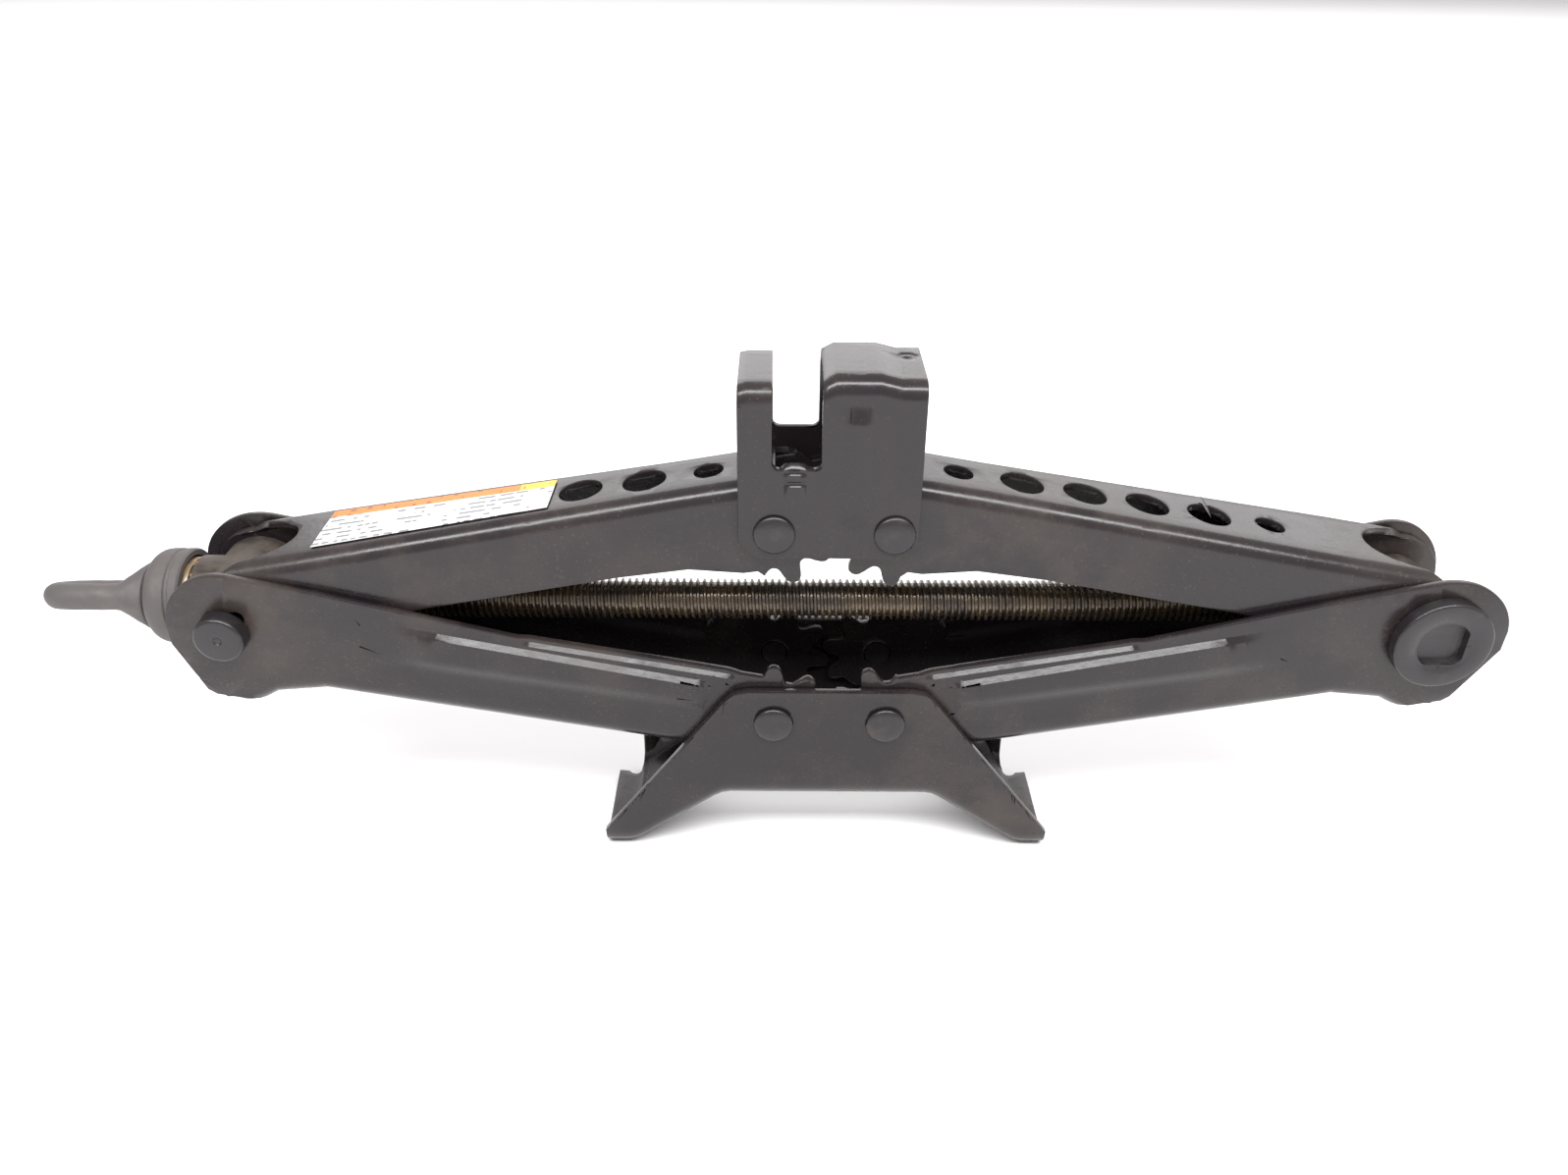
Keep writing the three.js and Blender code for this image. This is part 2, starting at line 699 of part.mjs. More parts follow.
const screwSolid = () => {
  const chamfer = 1.2;
  const radius = screwDiameter / 2;
  const body = turnedX(
    [
      [-screwTail, 0],
      [-screwTail, radius],
      [screwTip - chamfer, radius],
      [screwTip, radius - chamfer],
      [screwTip, 0],
    ],
    20,
  );
  return body.subtract(tilted(rodY(rollPin + 2 * touchGap, -20, 20, -pinAt, 0, 16)));
};

const capSolid = () => {
  const outer = capDiameter / 2;
  const shoulder = arcPoints(-capEnd + capShoulder, outer - capShoulder, capShoulder, Math.PI, Math.PI / 2, 3);
  const body = turnedX([[-capEnd, 0], ...shoulder, [-capFace, outer], [-capFace, 0]]);
  const cavity = rodX(capBore, -shankEnd - touchGap, -capFace + cutExtra, 24);
  return body.subtract(cavity).subtract(rodX(shankDiameter + 2 * touchGap, -capEnd - 1, -capFace + 1));
};

const ellipseRing = (x, halfWide, halfThick) =>
  Array.from({ length: 20 }, (_, i) => {
    const angle = (i / 20) * 2 * Math.PI;
    return [x, halfWide * Math.cos(angle), halfThick * Math.sin(angle)];
  });

const eyeSolid = () => {
  const wide = eyeCentreHalf + eyeRod / 2;
  const cone = coneDiameter / 2;
  const neck = loft([
    ellipseRing(-coneEnd - 3, wide - 1.6, eyeRod / 2 - 0.6),
    ellipseRing(-coneEnd, wide - 0.4, eyeRod / 2 + 0.2),
    ellipseRing(-coneEnd + coneLength * 0.35, wide, eyeRod / 2 + 2.6),
    ellipseRing(-coneEnd + coneLength * 0.8, cone, cone - 0.8),
    ellipseRing(-coneFace, cone, cone),
  ]);
  const bend = coneEnd + eyeStraight;
  const line = new THREE.CurvePath();
  const start = new THREE.Vector3(-coneEnd + 4, eyeCentreHalf, 0);
  line.add(new THREE.LineCurve3(start, new THREE.Vector3(-bend, eyeCentreHalf, 0)));
  const turns = 8;
  let previous = new THREE.Vector3(-bend, eyeCentreHalf, 0);
  for (let i = 1; i <= turns; i += 1) {
    const angle = (Math.PI * i) / turns;
    const x = -bend - eyeCentreHalf * Math.sin(angle);
    const point = new THREE.Vector3(x, eyeCentreHalf * Math.cos(angle), 0);
    line.add(new THREE.LineCurve3(previous, point));
    previous = point;
  }
  line.add(new THREE.LineCurve3(previous, new THREE.Vector3(-coneEnd + 4, -eyeCentreHalf, 0)));
  const section = new THREE.Shape().absarc(0, 0, eyeRod / 2, 0, 2 * Math.PI);
  const loop = new THREE.ExtrudeGeometry(section, {
    steps: 26,
    extrudePath: line,
    curveSegments: 5,
    bevelEnabled: false,
  });
  let eye = toSolid(loop).add(neck);
  eye = eye.add(rodX(shankDiameter, -coneFace - 1, -shankEnd));
  eye = eye.subtract(rodX(screwBore, -screwTail - touchGap, -shankEnd + cutExtra));
  eye = eye.subtract(rodY(rollPin + 2 * touchGap, -20, 20, -pinAt, 0, 16));
  return tilted(eye);
};

const rollPinHalf = shankDiameter / 2 - touchGap;
addMesh(root, 'lift_screw', screwSolid(), 'screw');
addMesh(root, 'bearing_cap', capSolid(), 'forging');
addMesh(root, 'crank_eye', eyeSolid(), 'forging');
addMesh(root, 'eye_roll_pin', tilted(rodY(rollPin, -rollPinHalf, rollPinHalf, -pinAt, 0, 16)), 'screw');

const jack = new THREE.Group();
jack.add(root);

export default jack;
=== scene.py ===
"""Scissor jack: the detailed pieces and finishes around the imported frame.

Shapes are worked out in millimetres in the frame of each piece, and put in place in metres.
"""

from math import acos, cos, degrees, pi, radians, sin, sqrt, tanh

import bmesh
import bpy
from mathutils import Matrix, Vector


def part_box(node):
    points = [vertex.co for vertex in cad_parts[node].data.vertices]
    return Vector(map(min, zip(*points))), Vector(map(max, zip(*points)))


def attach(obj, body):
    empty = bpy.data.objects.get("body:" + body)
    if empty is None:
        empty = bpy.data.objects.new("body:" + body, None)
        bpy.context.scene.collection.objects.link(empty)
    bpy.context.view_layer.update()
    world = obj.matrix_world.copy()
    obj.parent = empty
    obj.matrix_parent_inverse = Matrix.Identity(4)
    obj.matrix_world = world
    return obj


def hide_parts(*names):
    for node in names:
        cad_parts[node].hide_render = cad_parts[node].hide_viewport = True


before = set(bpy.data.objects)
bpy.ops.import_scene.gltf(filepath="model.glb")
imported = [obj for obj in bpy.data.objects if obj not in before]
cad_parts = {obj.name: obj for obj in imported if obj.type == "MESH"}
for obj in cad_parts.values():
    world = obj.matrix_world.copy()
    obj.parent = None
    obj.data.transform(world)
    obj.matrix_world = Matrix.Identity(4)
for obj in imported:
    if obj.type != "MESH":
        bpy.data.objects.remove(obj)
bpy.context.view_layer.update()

bl_info = {
    "name": "Scissor Jack",
    "version": (1, 0, 0),
    "blender": (4, 5, 0),
    "location": "3D View > Sidebar > Scissor Jack",
    "description": "Builds a car scissor jack with pressed arms, screw and studio",
    "category": "Add Mesh",
}

MM = 0.001


# ---------------------------------------------------------------- places taken from the frame


def centre_of(node):
    low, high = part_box(node)
    return (low + high) / 2 / MM


def span_of(node):
    low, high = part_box(node)
    return low / MM, high / MM


BASE_LEFT = centre_of("base_rivet_left_front")
BASE_RIGHT = centre_of("base_rivet_right_front")
SADDLE_LEFT = centre_of("saddle_rivet_left_front")
THRUST = centre_of("thrust_pin_front")
NUT = centre_of("nut_flange_pin_front")
MIDDLE_X = (BASE_LEFT.x + BASE_RIGHT.x) / 2
PIVOT_HALF = (BASE_RIGHT.x - BASE_LEFT.x) / 2
AXIS_Z = NUT.z
PIVOT_RISE = SADDLE_LEFT.z - AXIS_Z
REST_ANGLE = radians(11)
ARM_LENGTH = PIVOT_RISE / sin(REST_ANGLE)


# ---------------------------------------------------------------- sizes and colours


def size(name, default, description):
    return bpy.props.FloatProperty(
        name=name, description=description, default=default * MM, unit="LENGTH", subtype="DISTANCE", precision=5
    )


def shade(name, default, description):
    return bpy.props.FloatVectorProperty(
        name=name, description=description, default=default, subtype="COLOR", size=3, min=0, max=1
    )


class JackSheetSizes(bpy.types.PropertyGroup):
    arm_wall: size("Arm wall", 2.2, "Sheet thickness of the arms and the saddle")
    arm_bend: size("Arm bend", 4.5, "Outside radius of the folds of the arms and the saddle")
    base_wall: size("Base wall", 2.6, "Sheet thickness of the base")
    base_bend: size("Base bend", 6.5, "Outside radius of the folds of the base")
    edge_round: size("Edge rounding", 0.35, "Rounding of the sheared edges of the sheet")
    band_rise: size("Band rise", 1.4, "How far the pressed band of a lower arm stands out")
    strip_depth: size("Strip depth", 1.0, "How far the strip along the open edge of a lower arm is set in")
    bead_rise: size("Bead rise", 1.0, "How far the upright bead of the saddle stands out")


class JackTurnedSizes(bpy.types.PropertyGroup):
    thread_diameter: size("Thread diameter", 12.0, "Outside diameter of the lift screw")
    thread_pitch: size("Thread pitch", 2.0, "Travel of the nut in one turn")
    pin_head: size("Pin head", 14.0, "Diameter of the plain pin heads")
    rivet_head: size("Rivet head", 11.4, "Diameter of the rivet heads")
    flange: size("Flange", 27.4, "Diameter of the flanged pins")
    eye_rod: size("Eye rod", 7.8, "Thickness of the crank eye")


class JackColours(bpy.types.PropertyGroup):
    coat: shade("Coat", (0.015, 0.0115, 0.0135), "Black electrocoat of the pressed parts")
    dust: shade("Dust", (0.085, 0.066, 0.05), "Dust that lies on the coat")
    rivet: shade("Rivets", (0.017, 0.0145, 0.0165), "Black coat of rivets and pins")
    steel: shade("Turned steel", (0.085, 0.072, 0.062), "Trunnion steel under old oil")
    washer: shade("Washer", (0.36, 0.3, 0.215), "Bright washer steel")
    grease: shade("Grease", (0.1, 0.07, 0.038), "Old grease in the thread")
    amber: shade("Fresh grease", (0.25, 0.1, 0.02), "Grease pressed out of the bearing")
    forging: shade("Forging", (0.1, 0.092, 0.09), "Phosphate coat of the cap and the eye")
    label: shade("Label", (0.6, 0.6, 0.6), "White film of the label")
    header: shade("Label header", (0.56, 0.17, 0.025), "Orange band of the label")
    header_end: shade("Label header end", (0.6, 0.37, 0.035), "Yellow end of the band")
    floor: shade("Floor", (0.86, 0.855, 0.86), "Pale floor")


# ---------------------------------------------------------------- modelling by hand


def only(piece):
    if bpy.context.object and bpy.context.object.mode != "OBJECT":
        bpy.ops.object.mode_set(mode="OBJECT")
    bpy.ops.object.select_all(action="DESELECT")
    piece.select_set(True)
    bpy.context.view_layer.objects.active = piece


def newest(name):
    piece = bpy.context.object
    piece.name = piece.data.name = name
    return piece


def edit(piece):
    only(piece)
    bpy.ops.object.mode_set(mode="EDIT")
    bpy.ops.mesh.select_all(action="SELECT")


def done():
    bpy.ops.object.mode_set(mode="OBJECT")


def loop_of(name, points):
    """A closed ring of edges through the points."""
    if bpy.context.object and bpy.context.object.mode != "OBJECT":
        done()
    bpy.ops.object.select_all(action="DESELECT")
    bpy.ops.mesh.primitive_circle_add(vertices=len(points), radius=1)
    piece = newest(name)
    for vertex, point in zip(piece.data.vertices, points):
        vertex.co = point
    return piece


def apply_modifier(piece, kind, **settings):
    only(piece)
    modifier = piece.modifiers.new(kind.title(), kind)
    for key, value in settings.items():
        setattr(modifier, key, value)
    bpy.ops.object.modifier_apply(modifier=modifier.name)


def round_edges(piece, width, angle=40, segments=2, clamp=False):
    apply_modifier(
        piece,
        "BEVEL",
        width=width,
        segments=segments,
        limit_method="ANGLE",
        angle_limit=radians(angle),
        use_clamp_overlap=clamp,
        loop_slide=False,
        miter_outer="MITER_ARC",
    )


def smooth(piece, angle=38):
    only(piece)
    bpy.ops.object.shade_smooth_by_angle(angle=radians(angle))


def turned(name, profile, steps=56, rounding=0.0, start=0.0):
    """A piece turned about X, from a closed profile of (x, radius)."""
    piece = loop_of(name, [(x, 0, max(r, 0.0)) for x, r in profile])
    edit(piece)
    bpy.ops.mesh.spin(steps=steps, angle=2 * pi, center=(0, 0, 0), axis=(1, 0, 0))
    bpy.ops.mesh.select_all(action="SELECT")
    bpy.ops.mesh.remove_doubles(threshold=0.002)
    bpy.ops.mesh.dissolve_degenerate(threshold=0.001)
    bpy.ops.mesh.delete_loose()
    bpy.ops.mesh.select_all(action="SELECT")
    bpy.ops.mesh.normals_make_consistent(inside=False)
    done()
    if start:
        piece.data.transform(Matrix.Rotation(start, 4, "X"))
    if rounding:
        round_edges(piece, rounding)
    smooth(piece)
    return piece


def along_y(piece, place, front):
    """Turns a piece drawn along +X so that it points out of the front or the back wall."""
    turn = Matrix.Rotation(-pi / 2 if front else pi / 2, 4, "Z")
    piece.data.transform(Matrix.Translation(place) @ turn)


def copy_of(piece, name):
    only(piece)
    bpy.ops.object.duplicate(linked=False)
    return newest(name)


def cut(piece, tool, operation="DIFFERENCE"):
    apply_modifier(piece, "BOOLEAN", object=tool, operation=operation, solver="EXACT")
    bpy.data.objects.remove(tool)


def place(piece, body, node, slot, finish):
    """Brings a piece from millimetres into the frame and hands it over."""
    only(piece)
    piece.scale = (MM, MM, MM)
    bpy.ops.object.transform_apply(location=True, rotation=True, scale=True)
    piece.data.materials.clear()
    piece.data.materials.append(finish)
    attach(piece, body)
    if node:
        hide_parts(node)
    return piece


def between(value, low, high):
    """0 below low, 1 above high and smooth between them."""
    share = min(max((value - low) / (high - low), 0.0), 1.0)
    return share * share * (3 - 2 * share)


def slant_share(value, low, high):
    """0 below low, 1 above high and straight between them."""
    return min(max((value - low) / (high - low), 0.0), 1.0)


def arc(x, z, radius, start, stop, steps, tall=None):
    tall = radius if tall is None else tall
    angles = [radians(start + (stop - start) * i / steps) for i in range(steps + 1)]
    return [(x + radius * cos(a), z + tall * sin(a)) for a in angles]


# ---------------------------------------------------------------- pressed sheet


class Fold:
    """A channel folded from a flat blank. The blank has the way along the channel on X, and
    across it the web within 1, a fold within 2 and a wall beyond; a unit is a centimetre."""

    def __init__(self, stations, bend):
        self.stations = stations
        self.bend = bend

    def level(self, along, column):
        first, last = self.stations[0], self.stations[-1]
        if along <= first[0]:
            return first[column]
        for a, b in zip(self.stations, self.stations[1:]):
            if along <= b[0]:
                return a[column] + (b[column] - a[column]) * (along - a[0]) / (b[0] - a[0])
        return last[column]

    def half(self, along):
        return self.level(along, 1)

    def top(self, along):
        return self.level(along, 2)

    def across(self, along, z):
        """Where a point of the side view lies on the blank."""
        foot = self.top(along) - self.bend
        if z <= foot:
            return 2 + (foot - z) / 10
        return 1 + degrees(acos(min((z - foot) / self.bend, 1))) / 90

    def stand(self, along, across):
        """The folded place of a blank point, and the way out of the sheet."""
        side = -1 if across < 0 else 1
        share = abs(across)
        half, top, bend = self.half(along), self.top(along), self.bend
        if share <= 1:
            return Vector((along, across * (half - bend), top)), Vector((0, 0, 1))
        if share <= 2:
            turn = (share - 1) * pi / 2
            out = Vector((0, side * sin(turn), cos(turn)))
            return Vector((along, side * (half - bend), top - bend)) + out * bend, out
        return Vector((along, side * half, top - bend - (share - 2) * 10)), Vector((0, side, 0))


def spaced(ring, least=0.022):
    """The ring without points that crowd the one before them."""
    kept = [Vector(ring[0])]
    for point in map(Vector, ring[1:]):
        if (point - kept[-1]).length > least:
            kept.append(point)
    while (kept[-1] - kept[0]).length < least:
        kept.pop()
    return kept


ON_ROW = 1e-3
LEAN_FROM, LEAN_TO = 16, 124  # millimetres along the arm


def cut_blank(name, fold, outline, holes, along_lines, across_lines, leaning, press, wall, rounding):
    """Cuts the outline and the holes from flat sheet, folds and presses it, gives it its thickness.
    A leaning row of the grid leaves its straight line to follow a level of the wall."""
    rings = [spaced([(u / 10, a, 0) for u, a in ring]) for ring in [outline] + holes]
    parts = [loop_of(f"{name}_{i}", ring) for i, ring in enumerate(rings)]
    bpy.ops.object.select_all(action="DESELECT")
    for part in parts:
        part.select_set(True)
    bpy.context.view_layer.objects.active = parts[0]
    bpy.ops.object.join()
    piece = newest(name)
    edit(piece)
    bpy.ops.mesh.fill(use_beauty=True)

    def slice_at(point, normal):
        bpy.ops.mesh.select_all(action="SELECT")
        bpy.ops.mesh.bisect(plane_co=point, plane_no=normal, use_fill=False, threshold=0.0001)

    for u in along_lines:
        slice_at((u / 10, 0, 0), (1, 0, 0))
    for a in across_lines:
        slice_at((0, a, 0), (0, 1, 0))
    # the fill's own diagonals go, so that every face is a cell of the grid
    bpy.ops.mesh.select_mode(type="EDGE")
    sheet = bmesh.from_edit_mesh(piece.data)
    for edge in sheet.edges:
        run = edge.verts[1].co - edge.verts[0].co
        edge.select = not edge.is_boundary and abs(run.x) > 1e-4 and abs(run.y) > 1e-4
    bmesh.update_edit_mesh(piece.data)
    bpy.ops.mesh.dissolve_edges(use_verts=False, use_face_split=False)
    for vertex in bmesh.from_edit_mesh(piece.data).verts:
        for row, level in leaning:
            along = vertex.co.x * 10
            if abs(abs(vertex.co.y) - row) < ON_ROW and LEAN_FROM < along < LEAN_TO:
                side = -1 if vertex.co.y < 0 else 1
                vertex.co.y = side * fold.across(along, level(along))
                break
    bmesh.update_edit_mesh(piece.data)
    bpy.ops.mesh.select_mode(type="VERT")
    bpy.ops.mesh.select_all(action="SELECT")
    bpy.ops.mesh.remove_doubles(threshold=0.018)
    done()
    for vertex in piece.data.vertices:
        along, across = vertex.co.x * 10, vertex.co.y
        spot, out = fold.stand(along, across)
        vertex.co = spot + out * press(along, across, spot)
    edit(piece)
    bpy.ops.mesh.normals_make_consistent(inside=False)
    done()
    mesh = piece.data
    web = max(mesh.polygons, key=lambda face: face.area * (abs(face.normal.z) > 0.9))
    if web.normal.z < 0:
        mesh.flip_normals()
    apply_modifier(piece, "SOLIDIFY", thickness=wall, offset=-1)
    round_edges(piece, rounding, angle=52)
    smooth(piece, 40)
    return piece


def fold_lines(walls_from, walls_to, step):
    lines = [0, 0.34, 0.67, 1, 1.2, 1.4, 1.6, 1.8, 2]
    count = int((walls_to - walls_from) / step)
    lines += [walls_from + step * i for i in range(1, count + 1)]
    return sorted({s * line for s in (-1, 1) for line in lines})


GEAR_CENTRE = -169.0
LOBE_PITCH = 40.0
LOBE_MEAN = 15.0
LOBE_RISE = 2.7
LOBE_SHARPNESS = 1.3
HEEL = 14.0


def gear_edge(fold, side):
    """Round the gear end of a wall, from the web down past the rounded lobes."""
    tooth = 10 if side < 0 else -10
    points = [(-3.0, fold.across(-3.0, z)) for z in (fold.top(-3), 13.9)]
    for angle in range(104, 151, 5):
        x, z = HEEL * cos(radians(angle)), HEEL * sin(radians(angle))
        points.append((x, fold.across(x, z)))
    for i in range(57):
        angle = 151 + 140 * i / 56
        phase = radians((angle - 360 - GEAR_CENTRE - tooth) * 360 / LOBE_PITCH)
        radius = LOBE_MEAN + LOBE_RISE * tanh(LOBE_SHARPNESS * cos(phase)) / tanh(LOBE_SHARPNESS)
        x, z = radius * cos(radians(angle)), radius * sin(radians(angle))
        points.append((x, fold.across(x, z)))
    return points


def round_hole(u, across, radius, stretch, count=32):
    return [
        (u + radius * cos(2 * pi * i / count), across + radius / stretch * sin(2 * pi * i / count))
        for i in range(count)
    ]


def pivot_holes(fold, radius, u):
    return [
        [(u + radius * cos(2 * pi * i / 32), side * fold.across(u, radius * sin(2 * pi * i / 32))) for i in range(32)]
        for side in (-1, 1)
    ]


def straight_run(fold, points, step=2.0):
    """Points of the side view joined by straights, on the blank."""
    filled = []
    for (u0, z0), (u1, z1) in zip(points, points[1:]):
        count = max(1, int(sqrt((u1 - u0) ** 2 + (z1 - z0) ** 2) / step))
        filled += [(u0 + (u1 - u0) * i / count, z0 + (z1 - z0) * i / count) for i in range(count)]
    filled.append(points[-1])
    return [(u, fold.across(u, z)) for u, z in filled]


def arm_place(side, level):
    """Where a drawn arm stands: side 1 is right, level 1 is upper."""
    turn = {(1, 1): None, (-1, 1): "Z", (1, -1): "X", (-1, -1): "Y"}[side, level]
    quarter = Matrix.Rotation(pi, 4, turn) if turn else Matrix.Identity(4)
    root = Matrix.Translation((MIDDLE_X, 0, AXIS_Z))
    pivot = Matrix.Translation((PIVOT_HALF, 0, PIVOT_RISE))
    return root @ quarter @ pivot @ Matrix.Rotation(REST_ANGLE, 4, "Y")


def ease_out(value, low, high):
    return 1 - between(value, low, high)


# ---------------------------------------------------------------- shader boards


class Wire:
    """A socket that takes part in Python expressions; each one adds its Math node."""

    def __init__(self, board, socket):
        self.board = board
        self.socket = socket

    def _math(self, operation, *values):
        return self.board.node("ShaderNodeMath", {"operation": operation}, dict(enumerate(values)))

    def __add__(self, other):
        return self._math("ADD", self, other)

    __radd__ = __add__

    def __sub__(self, other):
        return self._math("SUBTRACT", self, other)

    def __rsub__(self, other):
        return self._math("SUBTRACT", other, self)

    def __mul__(self, other):
        return self._math("MULTIPLY", self, other)

    __rmul__ = __mul__

    def __truediv__(self, other):
        return self._math("DIVIDE", self, other)

    def __gt__(self, other):
        return self._math("GREATER_THAN", self, other)

    def __lt__(self, other):
        return self._math("LESS_THAN", self, other)

    def clamp(self):
        return self.board.node("ShaderNodeClamp", {}, {"Value": self})

    def ramp(self, low, high):
        """0 at low and 1 at high, held beyond them."""
        return ((self - low) / (high - low)).clamp()


class Board:
    """One material. node() adds any node; its settings are set first, then its sockets."""

    def __init__(self, name):
        self.material = bpy.data.materials.new(name)
        self.material.use_nodes = True
        self.tree = self.material.node_tree
        self.tree.nodes.clear()

    def node(self, kind, settings, sockets, out=0):
        made = self.tree.nodes.new(kind)
        for key, value in settings.items():
            if key == "stops":
                ramp = made.color_ramp
                while len(ramp.elements) < len(value):
                    ramp.elements.new(0.5)
                for element, (at, colour) in zip(ramp.elements, value):
                    element.position, element.color = at, colour
            else:
                setattr(made, key, value)
        for key, value in sockets.items():
            socket = made.inputs[key]
            if isinstance(value, Wire):
                self.tree.links.new(value.socket, socket)
            else:
                socket.default_value = value
        return Wire(self, made.outputs[out])

    def place(self, turn=None, at=None, scale=None):
        """Object coordinates, centred and turned on a piece where that is asked for."""
        plain = self.node("ShaderNodeTexCoord", {}, {}, "Object")
        if turn is None and at is None and scale is None:
            return plain
        sockets = {"Vector": plain}
        if at is not None:
            sockets["Location"] = at
        if turn is not None:
            sockets["Rotation"] = turn
        if scale is not None:
            sockets["Scale"] = scale
        return self.node("ShaderNodeMapping", {"vector_type": "TEXTURE"}, sockets)

    def noise(self, where, per_metre, detail=4.0, rough=0.55):
        sockets = {"Vector": where, "Scale": per_metre, "Detail": detail, "Roughness": rough}
        return self.node("ShaderNodeTexNoise", {}, sockets)

    def mix(self, share, low, high):
        sockets = {"Factor": share, 6: colour_of(low), 7: colour_of(high)}
        return self.node("ShaderNodeMix", {"data_type": "RGBA", "clamp_factor": True}, sockets, 2)

    def axes(self, vector):
        made = self.node("ShaderNodeSeparateXYZ", {}, {"Vector": vector}, 0)
        return [Wire(self, out) for out in made.socket.node.outputs]

    def bump(self, height, depth, below=None):
        """Surface relief; depth is in millimetres."""
        sockets = {"Height": height, "Distance": depth * MM, "Strength": 1.0}
        if below is not None:
            sockets["Normal"] = below
        return self.node("ShaderNodeBump", {}, sockets)

    def finish(self, **sockets):
        wanted = {key.replace("_", " "): value for key, value in sockets.items()}
        shader = self.node("ShaderNodeBsdfPrincipled", {}, wanted)
        self.node_out(shader)
        return self.material

    def node_out(self, shader):
        target = self.tree.nodes.new("ShaderNodeOutputMaterial")
        self.tree.links.new(shader.socket, target.inputs["Surface"])


def colour_of(value):
    return value if isinstance(value, Wire) else (*value[:3], 1.0)


def colours():
    return bpy.context.scene.jack_colours


def finish_named(name):
    """A finish is made on its first use and found by its name after that."""

    def wrap(paint):
        return lambda: bpy.data.materials.get(name) or paint(Board(name), colours())

    return wrap


@finish_named("satin_electrocoat")
def coat_finish(board, tint):
    """Satin electrocoat: fine orange peel, brown dust in clouds and specks, a painted sheen that lightens the faces
    that look up, worn gloss.
    """
    where = board.place()
    clouds = board.noise(where, 34, 6, 0.62)
    specks = board.noise(where, 950, 2, 0.5)
    drift = board.noise(where, 11, 3, 0.5)
    facing = board.node("ShaderNodeNewGeometry", {}, {}, "Normal")
    # painted sheen: faces that look up are made lighter and warmer, standing in for light reflected on the tops
    painted_top_sheen = board.axes(facing)[2].clamp()
    blots = clouds.ramp(0.44, 0.66) * drift.ramp(0.42, 0.6)
    flecks = specks.ramp(0.62, 0.7) * clouds.ramp(0.38, 0.6)
    # the dust mask holds real dust in blots and flecks plus the painted top sheen
    dust = (blots * 0.4 + flecks * 0.3 + painted_top_sheen * clouds.ramp(0.35, 0.75) * 0.1).clamp()
    scuffs = board.noise(board.place(scale=(6, 1, 1)), 420, 2, 0.5)
    peel = board.noise(where, 520, 2, 0.5)
    return board.finish(
        Base_Color=board.mix(dust, tint.coat, tint.dust),
        Roughness=0.17 + clouds * 0.1 + dust * 0.4 + scuffs.ramp(0.62, 0.75) * 0.08,
        Normal=board.bump(peel + specks * 0.15, 0.035),
        IOR=1.48,
    )


@finish_named("headed_piece_coat")
def rivet_finish(board, tint):
    """Thicker black coat of headed pieces, with turning marks under it."""
    where = board.place()
    clouds = board.noise(where, 120, 4, 0.6)
    grain = board.noise(where, 1300, 2, 0.5)
    worn = clouds.ramp(0.56, 0.74)
    return board.finish(
        Base_Color=board.mix(worn * 0.35, tint.rivet, tint.dust),
        Roughness=0.24 + clouds * 0.16,
        Normal=board.bump(grain + clouds, 0.05),
    )


@finish_named("oiled_turned_steel")
def steel_finish(board, tint):
    """Turned steel under old oil, with dust caught in it."""
    where = board.place()
    clouds = board.noise(where, 150, 5, 0.65)
    rings = board.noise(board.place(scale=(1, 0.04, 1)), 60, 3, 0.6)
    dirt = clouds.ramp(0.42, 0.66)
    return board.finish(
        Base_Color=board.mix(dirt * 0.75, tint.steel, tint.dust),
        Metallic=0.75 - dirt * 0.55,
        Roughness=0.38 + dirt * 0.3 + rings * 0.08,
        Normal=board.bump(rings + clouds * 0.8, 0.05),
    )


@finish_named("stained_washer_steel")
def washer_finish(board, tint):
    """Bright hardened steel with amber grease dried on it."""
    clouds = board.noise(board.place(), 260, 4, 0.6)
    stain = clouds.ramp(0.5, 0.64)
    return board.finish(
        Base_Color=board.mix(stain, tint.washer, tint.amber),
        Metallic=0.85 - stain * 0.7,
        Roughness=0.34 + clouds * 0.2,
        Normal=board.bump(clouds, 0.06),
    )


@finish_named("greased_thread")
def thread_finish(board, tint):
    """Steel thread filled with dark grease that glints where it is thick."""
    where = board.place()
    smears = board.noise(where, 90, 5, 0.65)
    beads = board.noise(where, 620, 3, 0.55)
    thick = (smears.ramp(0.38, 0.6) * 0.8 + beads.ramp(0.5, 0.6) * 0.4).clamp()
    return board.finish(
        Base_Color=board.mix(thick, tint.steel, tint.grease),
        Metallic=0.9 - thick * 0.5,
        Roughness=0.34 - thick * 0.2 + smears * 0.08,
        Coat_Weight=thick * 0.8,
        Coat_Roughness=0.08,
        Normal=board.bump(beads + smears, 0.22),
    )


@finish_named("phosphate_forging")
def forging_finish(board, tint):
    """Dark phosphate with scale pits and rubbed places."""
    where = board.place()
    pits = board.noise(where, 700, 4, 0.65)
    clouds = board.noise(where, 90, 4, 0.6)
    rubbed = clouds.ramp(0.54, 0.72)
    return board.finish(
        Base_Color=board.mix(rubbed * 0.6, tint.forging, (0.15, 0.132, 0.12)),
        Metallic=0.25 + rubbed * 0.2,
        Roughness=0.56 + pits * 0.14 - rubbed * 0.1,
        Normal=board.bump(pits + clouds * 1.4, 0.12),
    )


@finish_named("amber_grease")
def grease_finish(board, tint):
    """Amber grease pressed out of the bearing."""
    lumps = board.noise(board.place(), 800, 3, 0.5)
    return board.finish(
        Base_Color=board.mix(lumps.ramp(0.4, 0.65), tint.amber, tint.grease),
        Roughness=0.2 + lumps * 0.15,
        Normal=board.bump(lumps, 0.12),
    )


# ---------------------------------------------------------------- operators


class JackStep(bpy.types.Operator):
    bl_options = {"REGISTER", "UNDO"}

    def sheet(self):
        return self.context.scene.jack_sheet

    def execute(self, context):
        self.context = context
        self.build()
        return {"FINISHED"}


